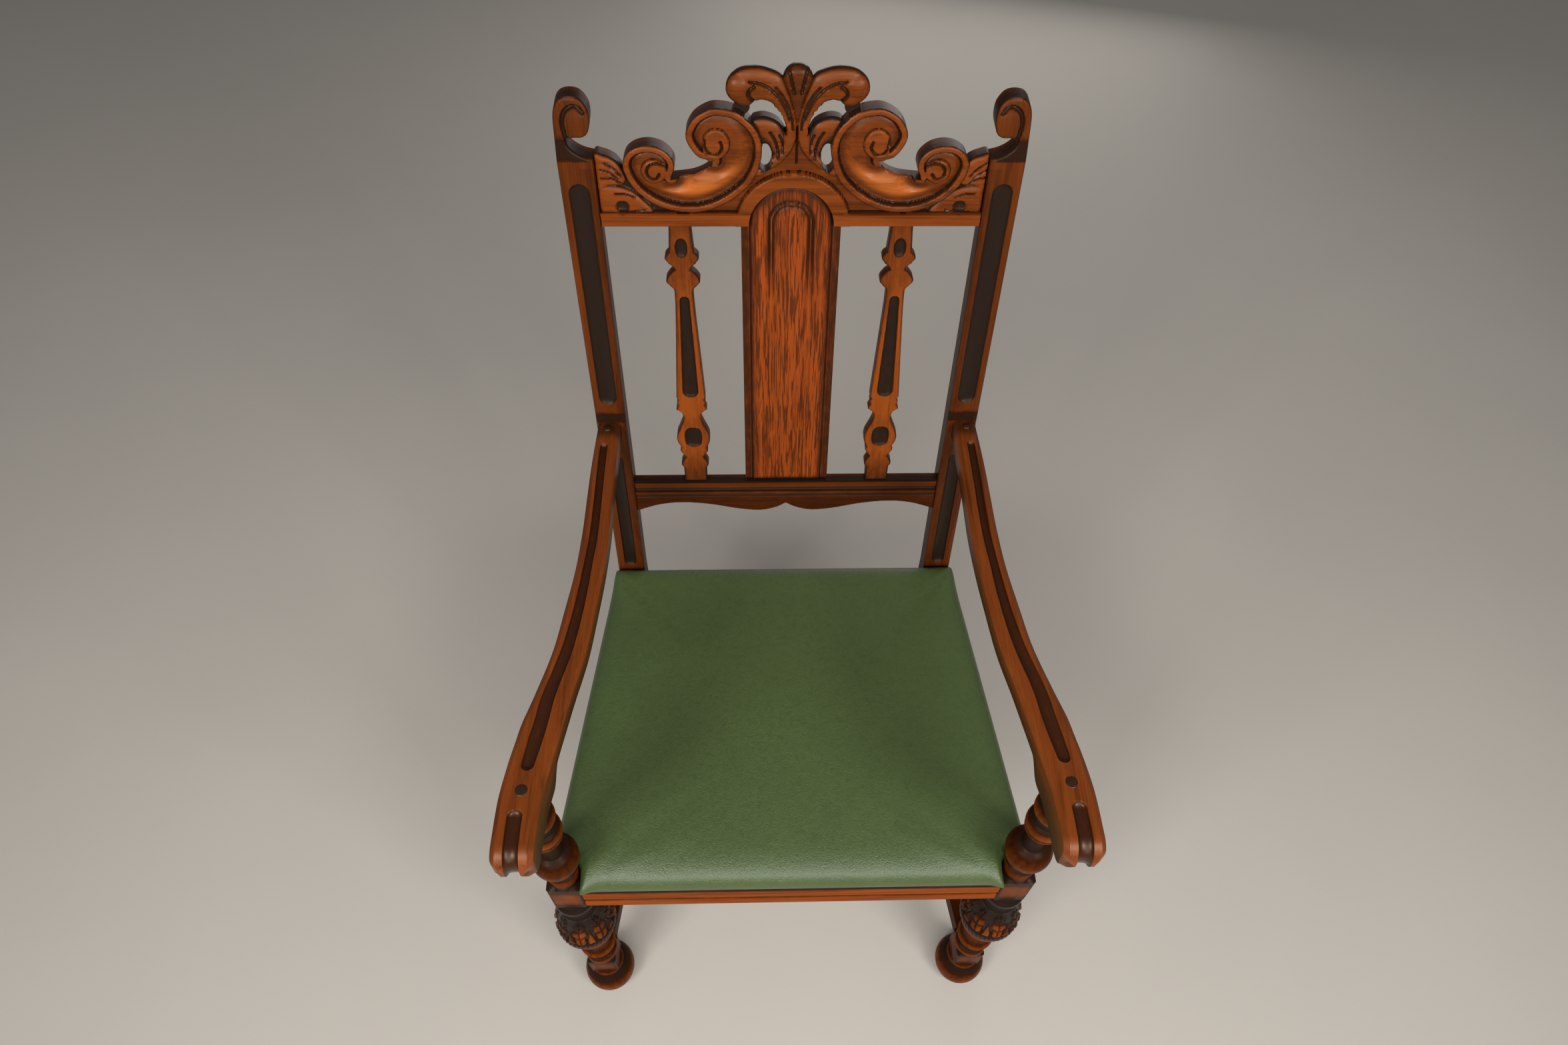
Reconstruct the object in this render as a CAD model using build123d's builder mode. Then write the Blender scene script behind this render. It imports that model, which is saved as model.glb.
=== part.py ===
"""Carved armchair: turned front legs, raked carved back, curved arms and an upholstered seat.

Millimetres, +Z up. The chair faces -Y, and its origin is on the floor at the middle of its outline.
Left and right are as seen from the front, so left is -X.
"""

import os
from math import atan, cos, radians, sin, sqrt, tan

from build123d import *

os.makedirs("parts", exist_ok=True)

# Plan of the frame
leg_spread = 537.0          # between the two front leg axes
post_spread = 427.0         # between the centres of the two rear posts
seat_depth = 414.0          # from the front leg axes to the front of the rear posts
rake = 8.5                  # lean of the back, degrees

# Clearances
fit = 0.2                   # round every tenon, dowel, plug and screw in its hole
pad_gap = 0.5               # between the seat and the rear posts
notch_gap = 2.8             # between the seat and the front leg blocks
corner_gap = 14.0           # between the corner blocks and the legs, along the rails
foam_gap = 0.3              # between the foam and its cover

# Front legs, from the floor to the arms
block = 40.6                # side of the two square blocks on each leg
lower_block_height = 52.0
seat_block_height = 71.0
foot_height = 60.0
foot_swell = 11.3
cup_height = 65.0
cup_rim = 38.0
lower_neck = 24.0
upper_neck = 49.3
ball_radius = 27.0
ball_neck = 13.0
post_pin_radius = 11.0      # round tenon that enters the arm
post_pin_length = 20.0

# Rear posts
post_width = 36.0
post_depth = 27.0
post_top_depth = 21.0
foot_depth = 29.0
kick_back = 46.0            # how far the rear feet stand behind the seat
scroll_rise = 133.5         # top of the post scroll above the crest's lower edge
scroll_radius = 18.5
curl_width = 8.0            # end of the post scroll's curl, from the inner face
curl_drop = 20.0            # end of the curl below the scroll's middle
hollow_reach = 24.0         # hollow under the curl, into the post
hollow_drop = 24.5
shoulder_drop = 41.0        # foot of the hollow below the scroll's middle
flute_clear = 27.0          # from the arm to the flute above it, and to the one below
flute_foot = 24.0           # lower flute above the tops of the leg blocks
flute_head = 47.0           # top of the upper flute above the crest's lower edge
flute_width = 20.5
lower_flute_width = 16.0
flute_depth = 4.0

# Seat frame
rail_height = 60.0
rail_thickness = 22.0
rail_drop = 4.0             # rail tops below the tops of the leg blocks
rear_rail_thickness = 14.0
rear_rail_height = 42.0     # lower than the other rails, so that the seat hides it
tenon_thickness = 8.0
tenon_length = 14.0
rear_tenon_length = 10.0
tenon_shoulder = 9.0        # rail above and below its tenons
edge_break = 1.5            # chamfer on the long edges of the seat frame
rail_groove_width = 3.0
rail_groove_depth = 2.5
rail_groove_height = 27.0   # above the lower edge of the front rail

# Stretchers
stretcher_width = 28.0
stretcher_height = 32.0
cross_stretcher_width = 26.0
cross_tenon_height = 14.0
cross_tenon_length = 11.0

# Back, measured up the slope from the tops of the leg blocks
lower_rail_base = 130.4
lower_rail_height = 49.6
crest_base = 548.5
crest_height = 166.9
crest_thickness = 20.0
crest_band = 14.2
arch_outer = 58.5
arch_inner = 44.0
lower_rail_thickness = 15.0
lower_rail_setback = 2.0    # behind the fronts of the posts
bow_height = 15.0           # rise of the lower rail's bowed edge
bow_run = 60.0              # from the post to the top of the bow
bow_dip = 32.0
bow_cusp = 13.0
moulding_fillet = 10.0
moulding_cove = 6.2
moulding_bead = 8.0
moulding_line = 1.6
moulding_depth = 4.0
scroll_inset = 37.3         # crest scrolls from the middle of the back
scroll_margin = 26.5        # crest scrolls from the posts
end_leaf_height = 75.0
lobe_root = 10.2            # half width of the two stems under the palmette
palmette_width = 26.0
pierce_width = 11.0         # small hole beside each stem
pierce_height = 23.0

# Heights of the crest scrolls above the crest's lower edge
curl_mid = 62.5
curl_top = 87.2
curl_end = 64.0
sweep_end = 52.0
sweep_mid = 57.5
volute_foot = 71.6
volute_mid = 97.0
volute_top = 124.4
volute_neck = 109.0
volute_back = 80.0

# Lobes beside the palmette, below the top of the crest
lobe_reach = 66.5           # from the middle of the back
lobe_top_drop = 3.6
lobe_side_drop = 28.0
lobe_foot_drop = 40.7
lobe_arch_drop = 39.0
lobe_end_drop = 47.4
stem_drop = 66.9
back_tenon_length = 12.0
back_tenon_front = 6.5      # behind the fronts of the posts
crest_tenon_height = 40.0

# Splat and balusters
splat_width = 104.5
splat_field_width = 86.0
splat_field_setback = 4.7
splat_lip = 9.2             # thickness of the crest in front of the splat's plate
splat_plate = 7.5
splat_tongue = 8.0
splat_groove = 3.5
splat_groove_depth = 1.5
splat_panel_width = 44.0
baluster_offset = 115.75    # from the middle of the back
baluster_thickness = 12.0
baluster_setback = 4.7
baluster_tenon_width = 16.0
baluster_tenon_length = 9.0
recess_depth = 3.0          # hollows in the balusters' faces
taper_hollow_low = 9.4      # from the lower end of the long taper to its hollow
taper_hollow_high = 12.8    # from the upper end of the long taper to its hollow
taper_hollow_head = 10.7
taper_hollow_foot = 18.9
head_hollow_drop = 28.4
head_hollow_width = 13.1
head_hollow_height = 23.8
foot_hollow_rise = 74.7
foot_hollow_width = 21.3
foot_hollow_height = 31.5

# Arms
arm_rise = 14.0             # rear end of the arm above its front end
arm_thickness = 26.0
hand_thickness = 46.0
arm_rear_width = 26.0
arm_front_width = 42.0
arm_rear_shift = 2.5        # arm's rear end outside the middle of the post
arm_front_shift = 3.0       # nose of the arm outside the leg axis
nose_reach = 75.0           # nose of the arm in front of the leg axis
nose_corner = 10.0
hand_length = 18.0          # thick stretch behind the leg axis
hand_sweep = 24.0           # hollow that joins the hand to the thin arm
arm_bend = 330.0            # start of the arm's bend, behind the leg axis
arm_stations = 9            # stretches of the arm's outline
arm_groove_rear = 10.0
arm_groove_front = 14.0
arm_groove_depth = 3.0
arm_groove_margin = 20.0    # from the groove's ends to the post and the leg axis
arm_groove_run = 70.0       # stretch at each end of the groove with one width
plug_radius = 6.2
plug_thickness = 7.0
peg_radius = 3.2
peg_length = 20.0
peg_inset = 13.0
dowel_radius = 7.0
dowel_grip = 26.0
dowel_depth = 16.0

# Seat
seat_overhang_front = 1.7   # beyond the front rail
seat_front_overhang = 15.5  # beyond the leg axes, at each side
seat_rear_overhang = 22.0   # beyond the middles of the posts, at each side
cover_thickness = 1.2
cover_flange = 38.0
board_thickness = 8.0
seat_edge = 20.0            # height of the seat's upright sides
seat_shoulder = 13.0
seat_crown = 8.0
seat_roll = 42.0            # depth of the rounded front and rear of the seat

# Screws
screw_radius = 1.9
screw_head_radius = 4.0
screw_head_height = 2.8
screw_grip = 12.0           # length in the wood at the far side of a joint
block_screw_seat = 18.0     # wood under the heads of the corner block screws
seat_screw_seat = 20.0      # wood under the heads of the seat screws
seat_screw_grip = 7.0       # length of the seat screws in the seat board
corner_block_height = 40.0
corner_block_reach = 54.0
corner_block_drop = 3.0     # below the rail tops
staple_width = 10.0
staple_wire = 0.9
staple_leg = 6.0
staple_inset = 34.5         # from the edges of the seat
staple_count = 5            # along each side of the seat

# Turnings of the front legs: (radius, rise, swell) for each step, a negative swell being a hollow
foot_turning = [(27.0, 0, 0), (23.0, foot_height, foot_swell), (21.0, 3, 0), (20.0, 12, 0)]
lower_turning = [
    (19.0, 0, 0), (19.0, 3, 0), (19.0, 14, 4), (18.0, 2, 0), (24.5, 30, -4), (25.0, 2, 0), (25.0, 4, 0),
    (17.0, 46, -4), (18.0, lower_neck, 0), (32.0, 12, -3), (32.0, 12, 3), (36.0, 4, 0), (cup_rim, 4, 0),
    (cup_rim, 17, 4), (cup_rim + 1.5, 2, 0), (26.0, cup_height, 7), (24.0, 4, 0), (22.0, 16, -3),
    (22.0, 2, 0), (22.0, 16, 4), (20.0, 2, 0), (20.0, 5, 0),
]
ball_rise = 2 * sqrt(ball_radius**2 - ball_neck**2)
upper_turning = [
    (19.0, 0, 0), (17.5, 19, -1), (17.5, 1, 0), (17.5, 7, 1.5), (15.0, 2, 0), (ball_neck, 12.3, -1.5),
    (ball_neck, ball_rise, ball_radius - ball_neck), (15.0, upper_neck, -2), (17.0, 4, 0), (17.0, 2, 0),
    (17.0, 22, 4.7), (17.0, 2, 0), (16.5, 18, -2.5), (16.5, 1, 0), (16.5, 22, 4.5), (15.5, 2, 0),
    (17.0, 11, -1),
]

# Fretted edge of a baluster below and above its long taper: (half width, rise, swell)
baluster_foot = [
    (14.0, 0, 0), (14.2, 24.3, 0), (11.2, 17.7, 3.7), (15.9, 16.5, 3.0), (10.5, 48.3, 6.2),
    (18.4, 11.9, -2), (17.0, 4.7, 0), (15.3, 11.1, 0.8), (17.3, 2.7, 0),
]
baluster_head = [
    (10.2, 0, 0), (15.3, 7.2, -0.6), (8.2, 18.2, 5.2), (15.2, 10.1, -0.7), (13.5, 11.2, 3.6),
    (11.5, 34.3, 0),
]


def rise(steps):
    """Total height of a list of steps."""
    return sum(step[1] for step in steps)


# Heights up the front legs
lower_block_base = rise(foot_turning)
lower_block_top = lower_block_base + lower_block_height
seat_block_base = lower_block_top + rise(lower_turning)
seat_block_top = seat_block_base + seat_block_height
arm_under = seat_block_top + rise(upper_turning)
rail_top = seat_block_top - rail_drop
rail_base = rail_top - rail_height
arm_front_top = arm_under + hand_thickness
arm_rear_top = arm_front_top + arm_rise
stretcher_z = (lower_block_base + lower_block_top) / 2

# Places in plan
slope = radians(rake)
crest_top = crest_base + crest_height
back_reach = seat_depth + crest_top * sin(slope) + crest_thickness * cos(slope)
leg_x = leg_spread / 2
leg_y = (nose_reach - back_reach) / 2
post_x = post_spread / 2
post_y = leg_y + seat_depth
post_inner = post_x - post_width / 2
block_front = leg_y - block / 2
block_back = leg_y + block / 2
lower_rail_top = lower_rail_base + lower_rail_height

# The plane of the back: X across, Y up the slope, the normal towards the sitter
back_plane = Plane(
    origin=(0, post_y, seat_block_top), x_dir=(1, 0, 0), z_dir=(0, -cos(slope), sin(slope))
)
sides = (("left", -1), ("right", 1))
bottom = (Align.CENTER, Align.CENTER, Align.MIN)


def save(piece, name):
    """Label a finished piece and write its file."""
    piece.part.label = name
    export_step(piece.part, f"parts/{name}.step")


def slope_height(z):
    """Distance up the back's slope at a height above the floor."""
    return (z - seat_block_top) / cos(slope)


def back_at(height, behind=0.0):
    """The plane of the back, moved up the slope and behind the fronts of the posts."""
    origin = back_plane.from_local_coords((0, height, -behind))
    return Plane(origin=origin, x_dir=back_plane.x_dir, z_dir=back_plane.z_dir)


def scroll_x(share):
    """A place between the inner and the outer end of a crest scroll."""
    return scroll_inset + (post_inner - scroll_margin - scroll_inset) * share


def post_front(z):
    """Y of the front face of a rear post at a height above the floor."""
    if z >= seat_block_top:
        return post_y + (z - seat_block_top) * tan(slope)
    return post_y + kick_back * max(0, seat_block_base - z) / seat_block_base


def bar(plane, start, end, x, y, width, height, mode=Mode.ADD):
    """A rectangular bar or mortise along a plane's normal, between two distances from the plane."""
    with BuildSketch(plane.offset(start)) as section:
        with Locations((x, y)):
            Rectangle(width, height)
    extrude(section.sketch, amount=end - start, mode=mode)


def rod(plane, start, end, radius, mode=Mode.ADD):
    """A round rod or hole along a plane's normal, between two distances from the plane."""
    with BuildSketch(plane.offset(start)) as section:
        Circle(radius)
    extrude(section.sketch, amount=end - start, mode=mode)


def back_tenon(x, mid, width, height, behind, grow=0, mode=Mode.ADD):
    """A tenon of the back behind the fronts of the posts, grown by a clearance for its mortise."""
    bar(back_plane, grow - behind, -behind - tenon_thickness - grow, x, mid,
        width + 2 * grow, height + 2 * grow, mode=mode)


def edge_line(x, base, steps, side=1):
    """Draw a stepped edge of straight and round steps, and return its first and last points."""
    at = (x + side * steps[0][0], base)
    first = at
    for width, climb, swell in steps[1:]:
        to = (x + side * width, at[1] + climb)
        if swell:
            SagittaArc(at, to, -side * swell)
        else:
            Line(at, to)
        at = to
    return first, at


def turning(x, base, steps):
    """Half section of a turned stretch beside the upright axis at x."""
    with BuildSketch(Plane.XZ.offset(-leg_y)) as section:
        with BuildLine():
            first, last = edge_line(x, base, steps)
            Polyline(last, (x, last[1]), (x, first[1]), first)
        make_face()
    return section.sketch


def slanted_outline(front, rear, width):
    """Plan of a straight bar between two points, with its ends square to the chair."""
    half = width / 2
    with BuildSketch() as outline:
        with BuildLine():
            Polyline(
                (front[0] - half, front[1]), (front[0] + half, front[1]),
                (rear[0] + half, rear[1]), (rear[0] - half, rear[1]), close=True,
            )
        make_face()
    return outline.sketch


def side_line(y):
    """Distance from the middle of the chair to the middle of a side rail at a place y."""
    return leg_x + (post_x - leg_x) * (y - block_back) / (post_y - block_back)


def side_tenon(side, front, rear, low, high, grow, mode=Mode.ADD):
    """Tenons along a slanted side rail or stretcher, grown by a clearance for their mortises."""
    start, end = front - grow, rear + grow
    outline = slanted_outline(
        (side * side_line(start), start), (side * side_line(end), end), tenon_thickness + 2 * grow
    )
    bottom_face = Plane.XY.offset(low - grow) * outline
    extrude(bottom_face, amount=high - low + 2 * grow, mode=mode)


# Ends and levels of the tenons of the side rails and stretchers
rail_tenon_low = rail_base + rail_height / 2
rail_tenon_high = rail_top - tenon_shoulder
rear_tenon_low = rail_base + tenon_shoulder
rear_tenon_high = rail_base + rail_height / 2 - tenon_shoulder
stretcher_low = stretcher_z - stretcher_height / 2
stretcher_high = stretcher_z + stretcher_height / 2
stretcher_tenon_low = stretcher_low + tenon_shoulder
stretcher_tenon_high = stretcher_high - tenon_shoulder
stretcher_tenon_rear = post_front(stretcher_z) + rear_tenon_length

# Tenons of the front rail
front_rail_y = block_front + rail_thickness / 2
front_tenon_z = rail_base + rail_height / 2
front_tenon_height = rail_height - 2 * tenon_shoulder
front_tenon_reach = leg_x - block / 2 + tenon_length

# Tenons of the rear rail, below those of the side rails
rear_rail_y = post_y + rear_rail_thickness / 2
rear_rail_top = rail_base + rear_rail_height
rear_tenon_z = (rear_tenon_low + rear_tenon_high) / 2
rear_tenon_height = rear_tenon_high - rear_tenon_low
rear_tenon_reach = post_inner + tenon_length

# Tenons of the lower back rail and the crest, up the slope
lower_tenon_height = lower_rail_height / 2
lower_tenon_mid = lower_rail_top - tenon_shoulder / 2 - lower_tenon_height / 2
crest_tenon_mid = crest_base + crest_band + crest_tenon_height / 2
back_tenon_reach = post_inner + back_tenon_length
baluster_tenon_front = baluster_setback + (baluster_thickness - tenon_thickness) / 2
splat_tongue_width = splat_width - 2 * splat_tongue

# The cross stretcher halfway along the side stretchers
cross_y = (block_back + post_front(stretcher_z)) / 2
cross_reach = side_line(cross_y) - stretcher_width / 2 + cross_tenon_length

# Corner blocks inside the seat frame, and the screws through them
rail_angle = atan((leg_x - post_x) / (post_y - block_back))
side_inner = rail_thickness / 2
block_top = rail_top - corner_block_drop
block_base = block_top - corner_block_height
screw_z = (block_base + block_top) / 2
rear_screw_z = (block_base + rear_rail_top) / 2
front_screw_x = leg_x - block / 2 - corner_gap - corner_block_reach / 2
front_screw_y = block_back + corner_gap + corner_block_reach / 2
rear_screw_x = post_inner - corner_gap - corner_block_reach / 2
rear_screw_y = post_y - corner_gap - corner_block_reach / 2
front_rail_back = block_front + rail_thickness
rear_rail_front = rear_rail_y - rear_rail_thickness / 2
front_rail_screws = [
    Plane(origin=(side * front_screw_x, front_rail_back, screw_z), z_dir=(0, 1, 0)) for side in (-1, 1)
]
rear_rail_screws = [
    Plane(origin=(side * rear_screw_x, rear_rail_front, rear_screw_z), z_dir=(0, -1, 0)) for side in (-1, 1)
]
side_rail_screws = {
    side: [
        Plane(origin=(side * (side_line(y) - side_inner), y, screw_z),
              z_dir=(-side * cos(rail_angle), -sin(rail_angle), 0))
        for y in (front_screw_y, rear_screw_y)
    ]
    for side in (-1, 1)
}

# Where each arm meets its post
arm_rear_x = post_x + arm_rear_shift
arm_rear_mid = arm_rear_top - arm_thickness / 2
arm_slope = arm_rise / (post_front(arm_rear_top) - leg_y)


def arm_top(y):
    """Height of the arm's upper face at a place y."""
    return arm_front_top + arm_slope * (y - leg_y)


def ease(t):
    """Smooth climb from 0 to 1."""
    t = min(max(t, 0), 1)
    return t * t * (3 - 2 * t)


def arm_middle(y):
    """Distance from the middle of the chair to the middle of an arm at a place y."""
    bend_start = leg_y + arm_bend
    bend_end = leg_y - nose_reach
    front_x = leg_x + arm_front_shift
    return arm_rear_x + (front_x - arm_rear_x) * ease((bend_start - y) / (bend_start - bend_end))


def arm_width(y):
    """Width of an arm at a place y, widening towards the hand."""
    run = (arm_rear_y - y) / (arm_rear_y - leg_y)
    return arm_rear_width + (arm_front_width - arm_rear_width) * min(1, 0.35 * run + 0.8 * run**4)


arm_rear_y = post_front(arm_rear_top)
arm_nose_y = leg_y - nose_reach
dowel_plane = {
    side: Plane(origin=(side * arm_rear_x, post_front(arm_rear_mid), arm_rear_mid),
                x_dir=(1, 0, 0), z_dir=(0, 1, 0))
    for name, side in sides
}
peg_y = arm_rear_y - peg_inset
peg_plane = {
    side: Plane(origin=(side * arm_middle(peg_y), peg_y, arm_top(peg_y)), z_dir=(0, 0, 1))
    for name, side in sides
}
plug_plane = {
    side: Plane(origin=(side * leg_x, leg_y, arm_top(leg_y)), z_dir=(0, 0, 1))
    for name, side in sides
}
leg_turnings = ((0, foot_turning), (lower_block_top, lower_turning), (seat_block_top, upper_turning))

# Front legs
for name, side in sides:
    with BuildPart() as front_leg:
        for base, steps in leg_turnings:
            revolve(turning(side * leg_x, base, steps), axis=Axis((side * leg_x, leg_y, 0), (0, 0, 1)))
        with Locations((side * leg_x, leg_y, lower_block_base)):
            Box(block, block, lower_block_height, align=bottom)
        with Locations((side * leg_x, leg_y, seat_block_base)):
            Box(block, block, seat_block_height, align=bottom)
        rod(Plane(origin=(side * leg_x, leg_y, arm_under)), 0, post_pin_length, post_pin_radius)
        side_tenon(side, block_back - tenon_length, block_back, rail_tenon_low, rail_tenon_high, fit,
                   mode=Mode.SUBTRACT)
        side_tenon(side, block_back - tenon_length, block_back, stretcher_tenon_low, stretcher_tenon_high,
                   fit, mode=Mode.SUBTRACT)
        with Locations((side * front_tenon_reach / 2, front_rail_y, front_tenon_z)):
            Box(front_tenon_reach + 2 * fit, tenon_thickness + 2 * fit, front_tenon_height + 2 * fit,
                mode=Mode.SUBTRACT)
        rod(plug_plane[side], -hand_thickness - screw_grip, 0, screw_radius + fit, mode=Mode.SUBTRACT)
    save(front_leg, f"{name}_front_leg")

# Rear posts
for name, side in sides:
    scroll_top = crest_base + scroll_rise
    scroll_mid = scroll_top - scroll_radius
    outer = side * (post_x + post_width / 2)
    inner = side * post_inner
    with BuildPart() as rear_post:
        with BuildSketch(Plane.YZ.offset(side * post_x - post_width / 2)):
            with BuildLine():
                top_y = post_y + scroll_top * sin(slope)
                top_z = seat_block_top + scroll_top * cos(slope)
                Polyline(
                    (post_y + kick_back, 0), (post_y, seat_block_base), (post_y, seat_block_top),
                    (top_y, top_z),
                    (top_y + post_top_depth * cos(slope), top_z - post_top_depth * sin(slope)),
                    (post_y + post_depth, seat_block_top), (post_y + post_depth, seat_block_base),
                    (post_y + kick_back + foot_depth, 0), close=True,
                )
            make_face()
        extrude(amount=post_width)
        curl = (inner + side * curl_width, scroll_mid - curl_drop)
        hollow = (inner + side * hollow_reach, scroll_mid - hollow_drop)
        shoulder = (inner, scroll_mid - shoulder_drop)
        foot = -2 * seat_block_top
        with BuildSketch(back_plane):
            with BuildLine():
                Polyline(shoulder, (inner, foot), (outer, foot), (outer, scroll_mid))
                ThreePointArc((outer, scroll_mid), (side * post_x, scroll_top), (inner, scroll_mid))
                SagittaArc((inner, scroll_mid), curl, -side * curl_width / 5)
                SagittaArc(curl, hollow, side * curl_width / 3)
                SagittaArc(hollow, shoulder, side * curl_width / 2)
            make_face()
        extrude(amount=2 * seat_depth, both=True, mode=Mode.INTERSECT)
        upper_flute = (slope_height(arm_rear_top) + flute_clear, crest_base + flute_head)
        lower_flute = (flute_foot, slope_height(arm_rear_top - arm_thickness) - flute_clear)
        with BuildSketch(back_plane):
            for (low, high), width in ((upper_flute, flute_width), (lower_flute, lower_flute_width)):
                with Locations((side * post_x, (low + high) / 2)):
                    SlotOverall(high - low, width, rotation=90)
        extrude(amount=-flute_depth, mode=Mode.SUBTRACT)
        for mid, height in ((crest_tenon_mid, crest_tenon_height), (lower_tenon_mid, lower_tenon_height)):
            back_tenon(0, mid, 2 * back_tenon_reach, height, back_tenon_front, fit, mode=Mode.SUBTRACT)
        side_tenon(side, post_y - fit, post_y + rear_tenon_length, rail_tenon_low, rail_tenon_high, fit,
                   mode=Mode.SUBTRACT)
        side_tenon(side, post_y, stretcher_tenon_rear, stretcher_tenon_low, stretcher_tenon_high, fit,
                   mode=Mode.SUBTRACT)
        with Locations((0, rear_rail_y, rear_tenon_z)):
            Box(2 * rear_tenon_reach + 2 * fit, tenon_thickness + 2 * fit, rear_tenon_height + 2 * fit,
                mode=Mode.SUBTRACT)
        rod(dowel_plane[side], -dowel_grip, dowel_depth + fit, dowel_radius + fit, mode=Mode.SUBTRACT)
    save(rear_post, f"{name}_rear_post")

# Front seat rail, with a groove run along its face
with BuildPart() as front_seat_rail:
    with Locations((0, front_rail_y, rail_base)):
        Box(2 * leg_x - block, rail_thickness, rail_height, align=bottom)
    with Locations((0, block_front, rail_base + rail_groove_height)):
        Box(2 * leg_x, 2 * rail_groove_depth, rail_groove_width, mode=Mode.SUBTRACT)
    chamfer(front_seat_rail.edges().filter_by(Axis.X).group_by(Axis.Z)[0], edge_break)
    with Locations((0, front_rail_y, front_tenon_z)):
        Box(2 * front_tenon_reach, tenon_thickness, front_tenon_height)
    for plane in front_rail_screws:
        rod(plane, -screw_grip - fit, 0, screw_radius + fit, mode=Mode.SUBTRACT)
save(front_seat_rail, "front_seat_rail")

# Rear seat rail
with BuildPart() as rear_seat_rail:
    with Locations((0, rear_rail_y, rail_base)):
        Box(2 * post_inner, rear_rail_thickness, rear_rail_height, align=bottom)
    chamfer(rear_seat_rail.edges().filter_by(Axis.X).group_by(Axis.Z)[0], edge_break)
    with Locations((0, rear_rail_y, rear_tenon_z)):
        Box(2 * rear_tenon_reach, tenon_thickness, rear_tenon_height)
    for plane in rear_rail_screws:
        rod(plane, -screw_grip - fit, 0, screw_radius + fit, mode=Mode.SUBTRACT)
save(rear_seat_rail, "rear_seat_rail")

# Side seat rails
for name, side in sides:
    with BuildPart() as side_rail:
        outline = slanted_outline((side * leg_x, block_back), (side * post_x, post_y), rail_thickness)
        extrude(Plane.XY.offset(rail_base) * outline, amount=rail_height)
        chamfer(side_rail.edges().sort_by(SortBy.LENGTH)[-4:].group_by(Axis.Z)[0], edge_break)
        side_tenon(side, block_back - tenon_length, post_y + rear_tenon_length, rail_tenon_low,
                   rail_tenon_high, 0)
        for plane in side_rail_screws[side]:
            rod(plane, -screw_grip - fit, 0, screw_radius + fit, mode=Mode.SUBTRACT)
    save(side_rail, f"{name}_seat_rail")

# Side stretchers, cut to the slant of the rear legs
for name, side in sides:
    with BuildPart() as side_stretcher:
        rear_y = post_front(stretcher_low)
        outline = slanted_outline(
            (side * leg_x, block_back), (side * side_line(rear_y), rear_y), stretcher_width
        )
        extrude(Plane.XY.offset(stretcher_low) * outline, amount=stretcher_height)
        chamfer(side_stretcher.edges().sort_by(SortBy.LENGTH)[-4:], edge_break)
        with BuildSketch(Plane.YZ):
            with BuildLine():
                Polyline(
                    (block_back, stretcher_low), (rear_y, stretcher_low),
                    (post_front(stretcher_high), stretcher_high), (block_back, stretcher_high), close=True,
                )
            make_face()
        extrude(amount=leg_spread, both=True, mode=Mode.INTERSECT)
        side_tenon(side, block_back - tenon_length, stretcher_tenon_rear, stretcher_tenon_low,
                   stretcher_tenon_high, 0)
        with Locations((0, cross_y, stretcher_z)):
            Box(2 * cross_reach + 2 * fit, tenon_thickness + 2 * fit, cross_tenon_height + 2 * fit,
                mode=Mode.SUBTRACT)
    save(side_stretcher, f"{name}_side_stretcher")

# Cross stretcher between the two side stretchers
with BuildPart() as cross_stretcher:
    half = cross_stretcher_width / 2
    near = side_line(cross_y - half) - stretcher_width / 2
    far = side_line(cross_y + half) - stretcher_width / 2
    with BuildSketch(Plane.XY.offset(stretcher_low)):
        with BuildLine():
            Polyline((-near, cross_y - half), (near, cross_y - half), (far, cross_y + half),
                     (-far, cross_y + half), close=True)
        make_face()
    extrude(amount=stretcher_height)
    chamfer(cross_stretcher.edges().filter_by(Axis.X), edge_break)
    with Locations((0, cross_y, stretcher_z)):
        Box(2 * cross_reach, tenon_thickness, cross_tenon_height)
save(cross_stretcher, "cross_stretcher")

# Lower back rail: moulded face and a bowed lower edge
with BuildPart() as lower_back_rail:
    with BuildSketch(back_at(lower_rail_base, lower_rail_setback)):
        with BuildLine():
            Line((0, lower_rail_height), (post_inner, lower_rail_height))
            Line((post_inner, lower_rail_height), (post_inner, 0))
            SagittaArc((post_inner, 0), (post_inner - bow_run, bow_height), -bow_height / 3)
            Spline((post_inner - bow_run, bow_height), (bow_dip, 0), tangents=[(-1, 0), (-1, 0)])
            ThreePointArc((bow_dip, 0), (bow_dip / 3, bow_cusp / 3), (0, bow_cusp))
            Line((0, bow_cusp), (0, lower_rail_height))
        make_face()
        mirror(about=Plane.YZ)
    extrude(amount=-lower_rail_thickness)
    face = -lower_rail_setback
    cove_mid = lower_rail_top - moulding_fillet - moulding_cove / 2
    line_mid = cove_mid - moulding_cove / 2 - moulding_bead
    for mid, width, depth in (
        (cove_mid, moulding_cove, moulding_depth), (line_mid, moulding_line, moulding_depth / 2),
    ):
        bar(back_plane, face, face - depth, 0, mid, 2 * post_inner, width, mode=Mode.SUBTRACT)
    back_tenon(0, lower_tenon_mid, 2 * back_tenon_reach, lower_tenon_height, back_tenon_front)
    for name, side in sides:
        back_tenon(side * baluster_offset, lower_rail_top, baluster_tenon_width, 2 * baluster_tenon_length,
                   baluster_tenon_front, fit, mode=Mode.SUBTRACT)
    bar(back_plane, fit - splat_lip, -splat_lip - splat_plate / 2 - fit, 0, lower_rail_top,
        splat_tongue_width + 2 * fit, 2 * splat_tongue + 2 * fit, mode=Mode.SUBTRACT)
save(lower_back_rail, "lower_back_rail")

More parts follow.
